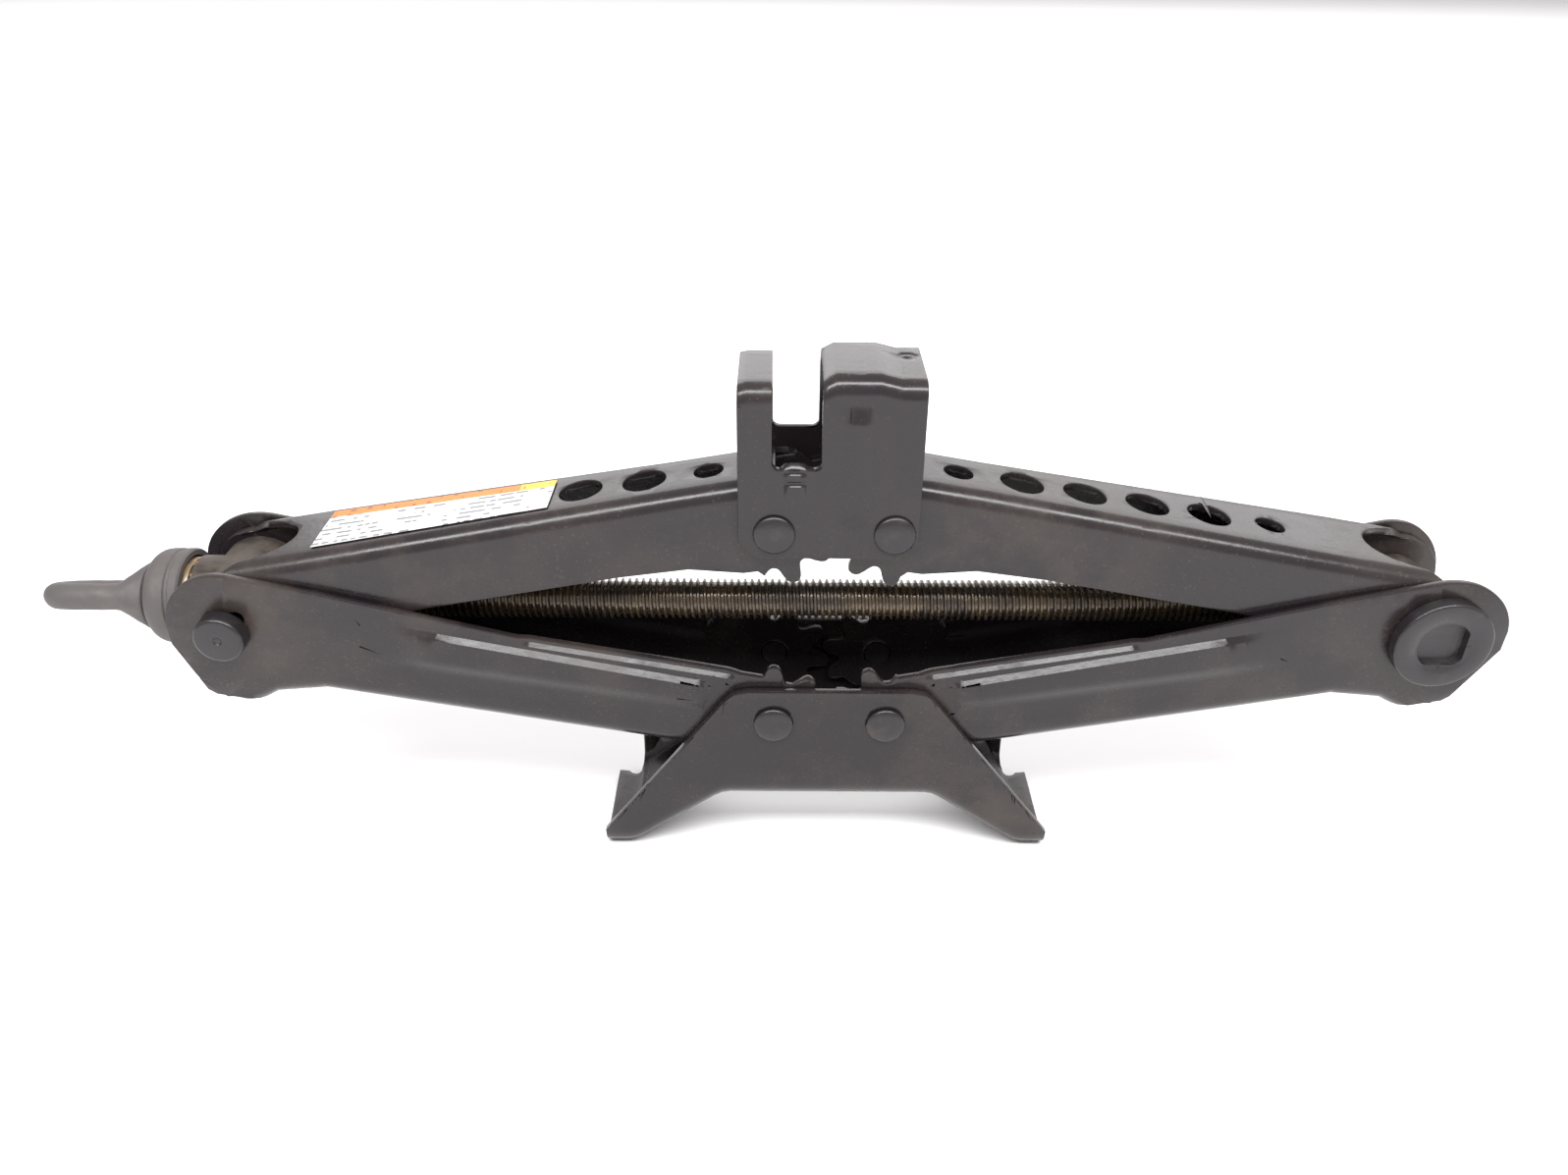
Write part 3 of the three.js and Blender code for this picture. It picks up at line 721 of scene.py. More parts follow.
class AddUpperArms(JackStep):
    """Adds the two upper arms: tapered channels with a row of lightening holes"""

    bl_idname = "jack.upper_arms"
    bl_label = "Upper Arms"

    def build(self):
        sizes = self.sheet()
        bend = sizes.arm_bend / MM
        length = ARM_LENGTH
        slope = (17.2 - 14.6) / length
        fold = Fold(
            [
                (-30, 13.2, 14.6 - 30 * slope),
                (24, 13.2, 14.6 + 24 * slope),
                (length - 28, 16.6, 17.2 - 28 * slope),
                (length, 16.6, 17.2),
                (length + 30, 16.6, 17.2 + 30 * slope),
            ],
            bend,
        )

        def wall(side):
            edge = [(-3.0, 0.25), (-3.0, 0.5), (-3.0, 0.75)] + gear_edge(fold, side)
            under = [(7, -12.2), (11, -12), (26, -8), (46, -6.6), (100, -5.4), (length - 22, -6.4), (length - 9, -12)]
            edge += straight_run(fold, under)
            end = arc(length, 0, 15, -127, 96, 44)
            edge += [(u, fold.across(u, z)) for u, z in end]
            edge += [(length - back, fold.across(length - back, z)) for back, z in ((3.4, 15.7), (5.4, 16.6))]
            edge += [(length - 7.8, 1.0)]
            for i in range(1, 13):
                turn = radians(100 + 80 * i / 13)
                edge.append((length - 5 + 16 * cos(turn), sin(turn)))
            return edge

        middle = [(length - 21.0, 0.0)]
        outline = wall(1) + middle + [(u, -a) for u, a in wall(-1)][::-1] + [(-3.0, 0.0)]
        holes = []
        for i in range(6):
            u = 15.8 + 18.3 * i
            radius = 4.2 if i in (0, 5) else 6.2
            holes.append(round_hole(u, 0, radius, fold.half(u) - bend, 40))
        holes += pivot_holes(fold, 4.3, 0) + pivot_holes(fold, 5.3, length)
        arm = cut_blank(
            "upper_arm_right_pressed",
            fold,
            outline,
            holes,
            [-8, 0, 8, 16, 24] + list(range(30, 130, 6)) + [129.2, 136, 143, 150, 157.2, 164],
            fold_lines(2, 4.7, 0.4),
            [],
            lambda along, across, spot: 0.0,
            sizes.arm_wall / MM,
            sizes.edge_round / MM,
        )
        other = copy_of(arm, "upper_arm_left_pressed")
        for piece, side, body in ((arm, 1, "upper_right_arm"), (other, -1, "upper_left_arm")):
            piece.data.transform(arm_place(side, 1))
            place(piece, body, piece.name.removesuffix("_pressed"), "black_coat", coat_finish())


class AddLowerArms(JackStep):
    """Adds the two lower arms: channels with pressed bands, set-in strips and deep end plates"""

    bl_idname = "jack.lower_arms"
    bl_label = "Lower Arms"

    def build(self):
        sizes = self.sheet()
        bend = sizes.arm_bend / MM
        rise, depth = sizes.band_rise / MM, sizes.strip_depth / MM
        length = ARM_LENGTH
        fold = Fold(
            [
                (-30, 18.3, 16),
                (24, 18.3, 16),
                (length - 28, 19.4, 16),
                (length - 14, 19.4, 20.08),
                (length, 19.4, 31.8),
                (length + 30, 19.4, 31.8),
            ],
            bend,
        )

        def band_top(u):
            return -9.0 - 2.0 * (u - 22) / 93

        def band_foot(u):
            return -0.8 + 1.3 * (u - 43) / 74

        def press(along, across, spot):
            if abs(across) <= 2:
                return 0.0
            z = spot.z
            inside = between(along, 19.5, 23.5) * ease_out(along, 94, 120)
            upper = slant_share(z, band_top(along), band_top(along) + 1.4)
            lower = ease_out(z, band_foot(along) - 2.5, band_foot(along) + 3.0)
            strip = between(along, 12, 16) * ease_out(along, 73, 77) * (1 - slant_share(z, -12.2, -11.2))
            return rise * inside * upper * lower - depth * strip

        def wall(side):
            reach = 16.4 if side < 0 else 19.6
            edge = [(-3.0, 0.25), (-3.0, 0.5), (-3.0, 0.75)] + gear_edge(fold, side)
            edge += straight_run(fold, [(6, -13.4), (74.2, -13.4), (length - 24, -17.3), (length, -18)])
            end = arc(length, 0, reach, -84, 5, 26, 18)
            edge += [(u, fold.across(u, z)) for u, z in end]
            above = [(length + reach - 1.4, 7.5), (length + 5.5, 21.6), (length + 3, 22.8)]
            above += [(length - 4, 22.8), (length - 9, 22.6), (length - 12, 21.6)]
            edge += straight_run(fold, above)
            edge.append((length - 14.6, 1.0))
            for i in range(1, 13):
                turn = radians(116 + 64 * i / 13)
                edge.append((length - 8 + 16 * cos(turn), sin(turn)))
            return edge

        outline = wall(1) + [(length - 24.0, 0.0)] + [(u, -a) for u, a in wall(-1)][::-1] + [(-3.0, 0.0)]
        holes = pivot_holes(fold, 4.3, 0) + pivot_holes(fold, 5.3, length)

        middle = 68
        rows = [(band_top, shift) for shift in (0.0, 1.4)]
        rows += [(band_foot, shift) for shift in (-2.5, -1.2, 0.2, 1.6, 3.0)]
        leaning = [
            (fold.across(middle, level(middle) + shift), lambda u, level=level, shift=shift: level(u) + shift)
            for level, shift in rows
        ]
        along = [-8, 0, 8, 12, 13.3, 14.7, 16, 19.5, 20.8, 22.2, 23.5] + list(range(29, 72, 6))
        along += [73, 74.2, 75.6, 77, 83, 89, 94, 99, 104, 109, 114, 120, 125]
        along += [129.2, 133, 138, 143.2, 150, 157.2, 165]
        walls = [2.35, 4.7] + [row for row, _ in leaning] + [2 + (16 - bend - z) / 10 for z in (-11.2, -12.2)]
        web = [0, 0.34, 0.67, 1, 1.2, 1.4, 1.6, 1.8, 2]
        across = sorted({s * line for s in (-1, 1) for line in web + walls})
        arm = cut_blank(
            "lower_arm_right_pressed",
            fold,
            outline,
            holes,
            along,
            across,
            leaning,
            press,
            sizes.arm_wall / MM,
            sizes.edge_round / MM,
        )
        other = copy_of(arm, "lower_arm_left_pressed")
        for piece, side, body in ((arm, 1, "lower_right_arm"), (other, -1, "lower_left_arm")):
            piece.data.transform(arm_place(side, -1))
            place(piece, body, piece.name.removesuffix("_pressed"), "black_coat", coat_finish())


class AddSaddle(JackStep):
    """Adds the saddle: a notched top with an upright bead on its front wall"""

    bl_idname = "jack.saddle"
    bl_label = "Saddle"

    def build(self):
        sizes = self.sheet()
        bend, half = sizes.arm_bend / MM, 15.8
        rise = sizes.bead_rise / MM
        left, right = -26.2, 23.0
        fold = Fold(
            [
                (left, half, 41.6),
                (-23.7, half, 42.2),
                (-5, half, 42.2),
                (-0.5, half, 44.6),
                (11, half, 44.6),
                (16.5, half, 43.2),
                (right, half, 43.2),
            ],
            bend,
        )

        def full():
            skirt = [(right, -2.6), (18, -7.6), (left + 5, -7.6), (left, -2.6)]
            points = straight_run(fold, [(right, 38.5)] + skirt + [(left, 37.0)])
            return [(right, a) for a in (0.5, 1.0, 1.5)] + points + [(left, a) for a in (1.5, 1.0, 0.5)]

        outline = full() + [(left, 0.0)] + [(u, -a) for u, a in full()][::-1] + [(right, 0.0)]
        notch = [(-17.0, a) for a in (0.5, 1.0, 1.5)]
        notch += straight_run(fold, [(-17, 37.5), (-17, 21.2)])
        notch += [(u, fold.across(u, z)) for u, z in arc(-15, 21.2, 2, 180, 270, 6)]
        notch += [(u, fold.across(u, z)) for u, z in arc(-6, 21.2, 2, 270, 360, 6)]
        notch += straight_run(fold, [(-4, 21.3), (-4, 37.5)])
        notch += [(-4.0, a) for a in (1.5, 1.0, 0.5)]
        opening = notch + [(u, -a) for u, a in notch][::-1]
        holes = [opening]
        for u in (-PIVOT_HALF, PIVOT_HALF):
            holes += pivot_holes(fold, 4.3, u)

        def press(along, across, spot):
            if across >= -2:
                if abs(across) < 1:
                    mark = sqrt(((along - 19) / 2.3) ** 2 + ((spot.y - 5.5) / 1.5) ** 2)
                    return -0.35 * (1 - between(abs(mark - 1), 0.1, 0.35))
                return 0.0
            side = slant_share(along, 2.0, 3.2) * (1 - slant_share(along, 8.0, 9.2))
            tall = between(spot.z, 2.5, 6) * (1 - slant_share(spot.z, 35.5, 36.5))
            dashes = 0.0
            for z in (15.0, 18.4):
                dash = (1 - between(abs(spot.z - z), 0.3, 0.8)) * between(along, -14, -13.2)
                dashes = max(dashes, dash * ease_out(along, -8.6, -7.8))
            return rise * side * tall - 0.5 * dashes

        along = [-24.5, -23.7, -20.5, -17, -14, -13.4, -12, -10, -8.4, -7.8, -4, -2.5, -0.5, 2.0, 3.2, 5.6, 8.0, 9.2, 11]
        along += [13.5, 16.5, 16.9, 17.4, 18.2, 19, 19.8, 20.6, 21.1, 21.6]
        levels = [36.5, 35.5, 34.5, 30, 25, 19.2, 18.9, 18.4, 17.9, 17.6, 15.8]
        levels += [15.5, 15, 14.5, 14.2, 10, 6, 4.8, 3.6, 2.5, 0, -4]
        walls = [2 + (37.7 - z) / 10 for z in levels]
        web = [0, 0.25, 0.36, 0.42, 0.49, 0.55, 0.61, 0.66, 0.8, 1, 1.2, 1.4, 1.6, 1.8, 2]
        across = sorted({s * line for s in (-1, 1) for line in web + walls})
        piece = cut_blank(
            "saddle_bracket_pressed",
            fold,
            outline,
            holes,
            along,
            across,
            [],
            press,
            sizes.arm_wall / MM,
            sizes.edge_round / MM,
        )
        piece.data.transform(Matrix.Translation((MIDDLE_X, 0, AXIS_Z + PIVOT_RISE)))
        place(piece, "saddle", "saddle_bracket", "black_coat", coat_finish())


class AddBase(JackStep):
    """Adds the base: an arched foot folded up into two tall walls"""

    bl_idname = "jack.base"
    bl_label = "Base"

    def build(self):
        sizes = self.sheet()
        bend, half = sizes.base_bend / MM, 21.3
        sole = AXIS_Z - PIVOT_RISE
        toe, heel, arch = 68.4, 59.5, 32.0
        # a straight leg with rounded bends at its foot and under the arch
        leg = []
        for u in (-61.5, -60.5, -59.5, -58.5, -57.5, -34.5, -33.2, -32, -30.8, -29.5):
            full = 29 + (sole - 29) * min(max((-u - arch) / (heel - arch), 0), 1)
            near_foot = max(0, 1 - abs(u + heel) / 2.0)
            near_arch = max(0, 1 - abs(u + arch) / 2.5)
            leg.append((u, half, full - 0.38 * near_foot + 0.45 * near_arch))
        stations = [(-toe, half, sole)] + leg + [(-u, h, t) for u, h, t in leg][::-1] + [(toe, half, sole)]
        fold = Fold(stations, bend)
        notch_at = 60.3

        def wall(side):
            if side > 0:
                edge = [(toe, a) for a in (0.5, 1.0, 1.3, 1.6, 2.0)]
                start = (toe, 41.6)
            else:
                edge = [(toe, a) for a in (0.4, 0.8)]
                edge += [(toe, 0.93)]
                relief = [radians(t) for t in (-20, -60, -90, -120, -150)]
                edge += [(62.7 + 2.4 * cos(t), 1.0 + 2.4 / 14.8 * (sin(t) - 0.3)) for t in relief]
                edge += [(notch_at, 1.15), (notch_at, 1.6), (notch_at, 2.0)]
                start = (notch_at, 34.6)
            rim = [start, (31, -7.2), (28, -10.2), (24, -11.2)]
            rim += [(-u, z) for u, z in rim[::-1]]
            return edge, straight_run(fold, rim, 2.5), [(-u, a) for u, a in edge][::-1]

        def closed(side):
            a, b, c = wall(side)
            return a + b + c

        outline = closed(1) + [(-toe, 0.0)] + [(u, -a) for u, a in closed(-1)][::-1] + [(toe, 0.0)]
        holes = []
        for u in (-PIVOT_HALF, PIVOT_HALF):
            holes += pivot_holes(fold, 4.3, u)

        def press(along, across, spot):
            if across > -2:
                return 0.0
            return 0.9 * (1 - between(abs(abs(along) - 54.5), 1.0, 2.6)) * ease_out(spot.z, 44, 47)

        along = [0, 8, 16, 24]
        along += [29.5, 30.8, 32, 33.2, 34.5, 40, 46, 51.9, 52.7, 53.5, 55.5, 56.3, 57.1, 57.5, 58.5, 59.5, 60.5, 61.5, 64]
        along = sorted({s * u for s in (-1, 1) for u in along})
        piece = cut_blank(
            "base_bracket_pressed",
            fold,
            outline,
            holes,
            along,
            fold_lines(2, 5.6, 0.5),
            [],
            press,
            sizes.base_wall / MM,
            sizes.edge_round / MM * 1.3,
        )
        turned_over = Matrix.Translation((MIDDLE_X, 0, sole)) @ Matrix.Rotation(pi, 4, "X")
        piece.data.transform(turned_over)
        place(piece, "base", "base_bracket", "black_coat", coat_finish())


def dome(inner, outer, head, shank, rise, tail):
    """Profile of a rivet from its inside end out to its low dome."""
    points = [(inner - tail, 0)]
    if tail:
        points += [(inner - tail, head / 2 - 1), (inner - tail * 0.4, head / 2), (inner, head / 2)]
    points += [(inner, shank / 2), (outer, shank / 2), (outer, head / 2 - 0.05), (outer + rise * 0.25, head / 2)]
    for i in range(1, 9):
        turn = radians(90 * i / 8)
        points.append((outer + rise * (0.25 + 0.75 * sin(turn)), head / 2 * max(cos(turn), 0.0)))
    points[-1] = (outer + rise, 0)
    return points


class AddRivets(JackStep):
    """Adds the four base rivets and the four saddle rivets"""

    bl_idname = "jack.rivets"
    bl_label = "Rivets"

    def build(self):
        head = self.context.scene.jack_turned.rivet_head / MM
        groups = (
            ("base_rivet", "base", BASE_LEFT.z, 0.0, "base_rivet_left_back"),
            ("saddle_rivet", "saddle", SADDLE_LEFT.z, 1.4, "saddle_rivet_left_back"),
        )
        for name, body, z, tail, sample in groups:
            low, high = span_of(sample)
            inner, face = low.y + tail, high.y
            rise = 1.8
            first = turned("rivet_blank", dome(inner, face - rise, head, 8, rise, tail), 40)
            for side_name, side in (("left", -1), ("right", 1)):
                for face_name in ("front", "back"):
                    node = f"{name}_{side_name}_{face_name}"
                    piece = copy_of(first, f"{node}_domed")
                    along_y(piece, (MIDDLE_X + side * PIVOT_HALF, 0, z), face_name == "front")
                    place(piece, body, node, "black_pin", rivet_finish())
            bpy.data.objects.remove(first)


def pin_profile(tail, foot, top, radius, chamfer, crown, turns, dimple):
    """Profile of a headed pin: chamfered shank, head with a rounded crown, shallow dimple in its middle."""
    outer, inner, sink = dimple
    shank = [(tail, 0), (tail, 4.6), (tail + 0.5, 5), (foot, 5)]
    head = [(foot, radius - chamfer), (foot + chamfer, radius), (top - crown, radius)]
    for turn in (radians(t) for t in turns):
        head.append((top - crown + crown * sin(turn), radius - crown + crown * cos(turn)))
    return shank + head + [(top, outer), (top - sink, inner), (top - sink, 0)]


class AddPins(JackStep):
    """Adds the plain trunnion pins at the cap end and the flanged pins at the nut end"""

    bl_idname = "jack.pins"
    bl_label = "Trunnion Pins"

    def build(self):
        sizes = self.context.scene.jack_turned
        low, high = span_of("thrust_pin_back")
        head = sizes.pin_head / 2 / MM
        foot = high.y - 5.2
        shape = pin_profile(low.y, foot, high.y, head, 0.4, 1.1, (22, 45, 68, 90), (1.3, 0.9, 0.35))
        plain = turned("pin_blank", shape, 48)
        low, high = span_of("nut_flange_pin_back")
        rim = sizes.flange / 2 / MM
        foot = high.y - 4.2
        shape = pin_profile(low.y, foot, high.y, rim, 0.5, 0.8, (30, 60, 90), (8.6, 8.2, 0.25))
        flanged = turned("flange_blank", shape, 64)
        socket = loop_of("socket_tool", self.socket_outline(high.y - 3.0))
        edit(socket)
        bpy.ops.mesh.edge_face_add()
        bpy.ops.mesh.extrude_region_move(TRANSFORM_OT_translate={"value": (6, 0, 0)})
        bpy.ops.mesh.select_all(action="SELECT")
        bpy.ops.mesh.normals_make_consistent(inside=False)
        done()
        cut(flanged, socket)
        round_edges(flanged, 0.25, 50)
        smooth(flanged)
        for face_name in ("front", "back"):
            for first, node, at, body in (
                (plain, f"thrust_pin_{face_name}", THRUST, "thrust_end"),
                (flanged, f"nut_flange_pin_{face_name}", NUT, "nut_end"),
            ):
                piece = copy_of(first, f"{node}_headed")
                along_y(piece, (at.x, 0, AXIS_Z), face_name == "front")
                place(piece, body, node, "black_pin", rivet_finish())
        bpy.data.objects.remove(plain)
        bpy.data.objects.remove(flanged)

    def socket_outline(self, floor):
        """A round socket with two flats, one to the side and one below."""
        radius, flat, count = 7.4, 6.1, 44
        points = []
        for i in range(count):
            turn = 2 * pi * i / count
            y, z = radius * cos(turn), radius * sin(turn)
            y = min(y, flat) if z > -5.4 else y
            points.append((floor, min(y, flat), max(z, -flat)))
        return points


class AddTrunnions(JackStep):
    """Adds the thrust trunnion with its boss and the nut trunnion"""

    bl_idname = "jack.trunnions"
    bl_label = "Trunnions"

    def build(self):
        low, high = span_of("thrust_trunnion")
        barrel = self.barrel("thrust_trunnion_turned", high.y, 12.7, 5.3)
        barrel.data.transform(Matrix.Translation((THRUST.x, 0, AXIS_Z)) @ Matrix.Rotation(pi / 2, 4, "Z"))
        boss = turned(
            "boss",
            [(low.x, 6.3), (low.x, 11.4), (low.x + 0.6, 12.0), (THRUST.x + 1.5, 12.0), (THRUST.x + 1.5, 6.3)],
            56,
        )
        boss.data.transform(Matrix.Translation((0, 0, AXIS_Z)))
        cut(barrel, boss, "UNION")
        self.bore(barrel, THRUST.x)
        low, high = span_of("nut_trunnion")
        nut = self.barrel("nut_trunnion_turned", high.y, 9.0, 5.3)
        nut.data.transform(Matrix.Translation((NUT.x, 0, AXIS_Z)) @ Matrix.Rotation(pi / 2, 4, "Z"))
        self.bore(nut, NUT.x)
        for piece, body, node in ((barrel, "thrust_end", "thrust_trunnion"), (nut, "nut_end", "nut_trunnion")):
            smooth(piece)
            place(piece, body, node, "turned_steel", steel_finish())

    def barrel(self, name, half, radius, bore):
        return turned(
            name,
            [(-half, bore), (-half, radius - 0.7), (-half + 0.7, radius), (half - 0.7, radius), (half, radius - 0.7)]
            + [(half, bore), (half - 6.5, bore), (half - 6.5, 0), (-half + 6.5, 0), (-half + 6.5, bore)],
            56,
        )

    def bore(self, piece, x):
        only(piece)
        bpy.ops.object.select_all(action="DESELECT")
        bpy.ops.mesh.primitive_cylinder_add(
            vertices=48, radius=6.3, depth=60, location=(x, 0, AXIS_Z), rotation=(0, pi / 2, 0)
        )
        tool = newest("bore_tool")
        bpy.ops.object.transform_apply(location=True, rotation=True, scale=True)
        cut(piece, tool)


class AddLiftScrew(JackStep):
    """Adds the lift screw with a real helical thread"""

    bl_idname = "jack.lift_screw"
    bl_label = "Lift Screw"

    def build(self):
        sizes = self.context.scene.jack_turned
        pitch = sizes.thread_pitch / MM
        crest = sizes.thread_diameter / 2 / MM
        root = crest - 1.05
        low, high = span_of("lift_screw")
        start = low.x - 2 * pitch
        turns = int((high.x - low.x) / pitch) + 5
        profile = [(0, root), (0.17, root), (0.34, crest - 0.08), (0.4, crest)]
        profile += [(0.6, crest), (0.66, crest - 0.08), (0.83, root), (1, root)]
        piece = loop_of("lift_screw_threaded", [(start + share * pitch, 0, radius) for share, radius in profile])
        edit(piece)
        bpy.ops.mesh.select_mode(type="EDGE")
        wire = bmesh.from_edit_mesh(piece.data)
        for edge in wire.edges:
            edge.select = abs(edge.verts[0].co.x - edge.verts[1].co.x) > 0.9 * pitch
        bmesh.update_edit_mesh(piece.data)
        bpy.ops.mesh.delete(type="EDGE")
        bpy.ops.mesh.select_mode(type="VERT")
        done()
        apply_modifier(
            piece,
            "SCREW",
            axis="X",
            screw_offset=pitch,
            iterations=turns,
            steps=20,
            render_steps=20,
            use_merge_vertices=True,
            merge_threshold=0.01,
            use_smooth_shade=True,
        )
        edit(piece)
        bpy.ops.mesh.remove_doubles(threshold=0.01)
        for x, direction in ((low.x + 0.02, -1), (high.x - 0.02, 1)):
            bpy.ops.mesh.select_all(action="SELECT")
            bpy.ops.mesh.bisect(plane_co=(x, 0, 0), plane_no=(direction, 0, 0), use_fill=True, clear_outer=True)
        bpy.ops.mesh.select_all(action="SELECT")
        bpy.ops.mesh.normals_make_consistent(inside=False)
        done()
        for vertex in piece.data.vertices:
            reach = min(high.x - vertex.co.x, vertex.co.x - low.x)
            radius = sqrt(vertex.co.y**2 + vertex.co.z**2)
            limit = crest - 1.6 * (1 - min(max(reach / 1.8, 0), 1))
            if radius > limit:
                vertex.co.y *= limit / radius
                vertex.co.z *= limit / radius
        piece.data.transform(Matrix.Translation((0, 0, AXIS_Z)))
        smooth(piece, 50)
        place(piece, "screw", "lift_screw", "greased_screw", thread_finish())


class AddBearing(JackStep):
    """Adds the thrust washer, the race, the bearing cap, the roll pin and the grease pressed out"""

    bl_idname = "jack.bearing"
    bl_label = "Thrust Bearing"

    def build(self):
        def ring(name, node, outer, inner, edge):
            low, high = span_of(node)
            shape = []
            for end, sign in ((low.x, 1), (high.x, -1)):
                corner = [(end, inner), (end, outer - edge), (end + sign * edge * 0.3, outer - edge * 0.3)]
                shape += (corner + [(end + sign * edge, outer)])[::sign]
            piece = turned(name, shape, 56)
            piece.data.transform(Matrix.Translation((0, 0, AXIS_Z)))
            return piece

        washer = ring("thrust_washer_turned", "thrust_washer", 11.5, 6.3, 0.35)
        place(washer, "thrust_end", "thrust_washer", "washer_steel", washer_finish())
        race = ring("thrust_race_turned", "thrust_race", 11.5, 6.3, 0.6)
        place(race, "thrust_end", "thrust_race", "washer_steel", washer_finish())

        low, high = span_of("bearing_cap")
        outer = high.z - AXIS_Z
        shoulder = 5.0
        bore = outer - 1.9
        bend = [radians(t) for t in range(0, 91, 10)]
        collar = [(low.x + shoulder - shoulder * cos(t), outer - shoulder + shoulder * sin(t)) for t in bend]
        race_low = span_of("thrust_race")[0].x
        cap = turned(
            "bearing_cap_pressed",
            [(low.x, 8.6)] + collar
            + [(low.x + 7.4, outer), (low.x + 7.8, outer - 0.45), (low.x + 8.6, outer - 0.45), (low.x + 9.0, outer)]
            + [(high.x - 0.5, outer), (high.x, outer - 0.5), (high.x, bore), (race_low - 0.6, bore), (race_low - 0.6, 8.6)],
            64,
        )
        cap.data.transform(Matrix.Translation((0, 0, AXIS_Z)))
        smooth(cap)
        place(cap, "screw", "bearing_cap", "dark_forging", forging_finish())

        low, high = span_of("eye_roll_pin")
        centre = (low + high) / 2
        half = 7.7
        pin = turned(
            "eye_roll_pin_rolled",
            [(-half, 1.2), (-half, 1.7), (-half + 0.4, 2.0), (half - 0.4, 2.0), (half, 1.7), (half, 1.2)],
            28,
        )
        turn = Matrix.Rotation(radians(-27), 4, "X") @ Matrix.Rotation(pi / 2, 4, "Z")
        pin.data.transform(Matrix.Translation(centre) @ turn)
        place(pin, "screw", "eye_roll_pin", "turned_steel", steel_finish())

        self.grease()

    def grease(self):
        """Beads of grease on the rim of the boss beside the washer."""
        face = span_of("thrust_washer")[1].x
        beads = []
        places = ((205, 1.0), (222, 0.7), (248, 1.15), (262, 0.8), (286, 0.9), (118, 0.8), (96, 1.0))
        for i, (turn, wide) in enumerate(places):
            bpy.ops.object.select_all(action="DESELECT")
            spot = (face + 0.9, -11.2 * sin(radians(turn - 90)), AXIS_Z + 11.2 * cos(radians(turn - 90)))
            bpy.ops.mesh.primitive_ico_sphere_add(subdivisions=3, radius=wide, location=spot)
            bead = newest("bead")
            bead.scale = (0.9, 1.25, 1.0)
            bpy.ops.object.transform_apply(location=True, rotation=True, scale=True)
            for vertex in bead.data.vertices:
                lump = 1 + 0.16 * sin(vertex.co.x * 2.1 + i) * sin(vertex.co.y * 1.7 + 2 * i) * sin(vertex.co.z * 1.9)
                vertex.co = Vector(spot) + (vertex.co - Vector(spot)) * lump
            beads.append(bead)
        bpy.ops.object.select_all(action="DESELECT")
        for bead in beads:
            bead.select_set(True)
        bpy.context.view_layer.objects.active = beads[0]
        bpy.ops.object.join()
        piece = newest("grease_beads")
        bpy.ops.object.shade_smooth()
        place(piece, "thrust_end", None, "washer_steel", grease_finish())


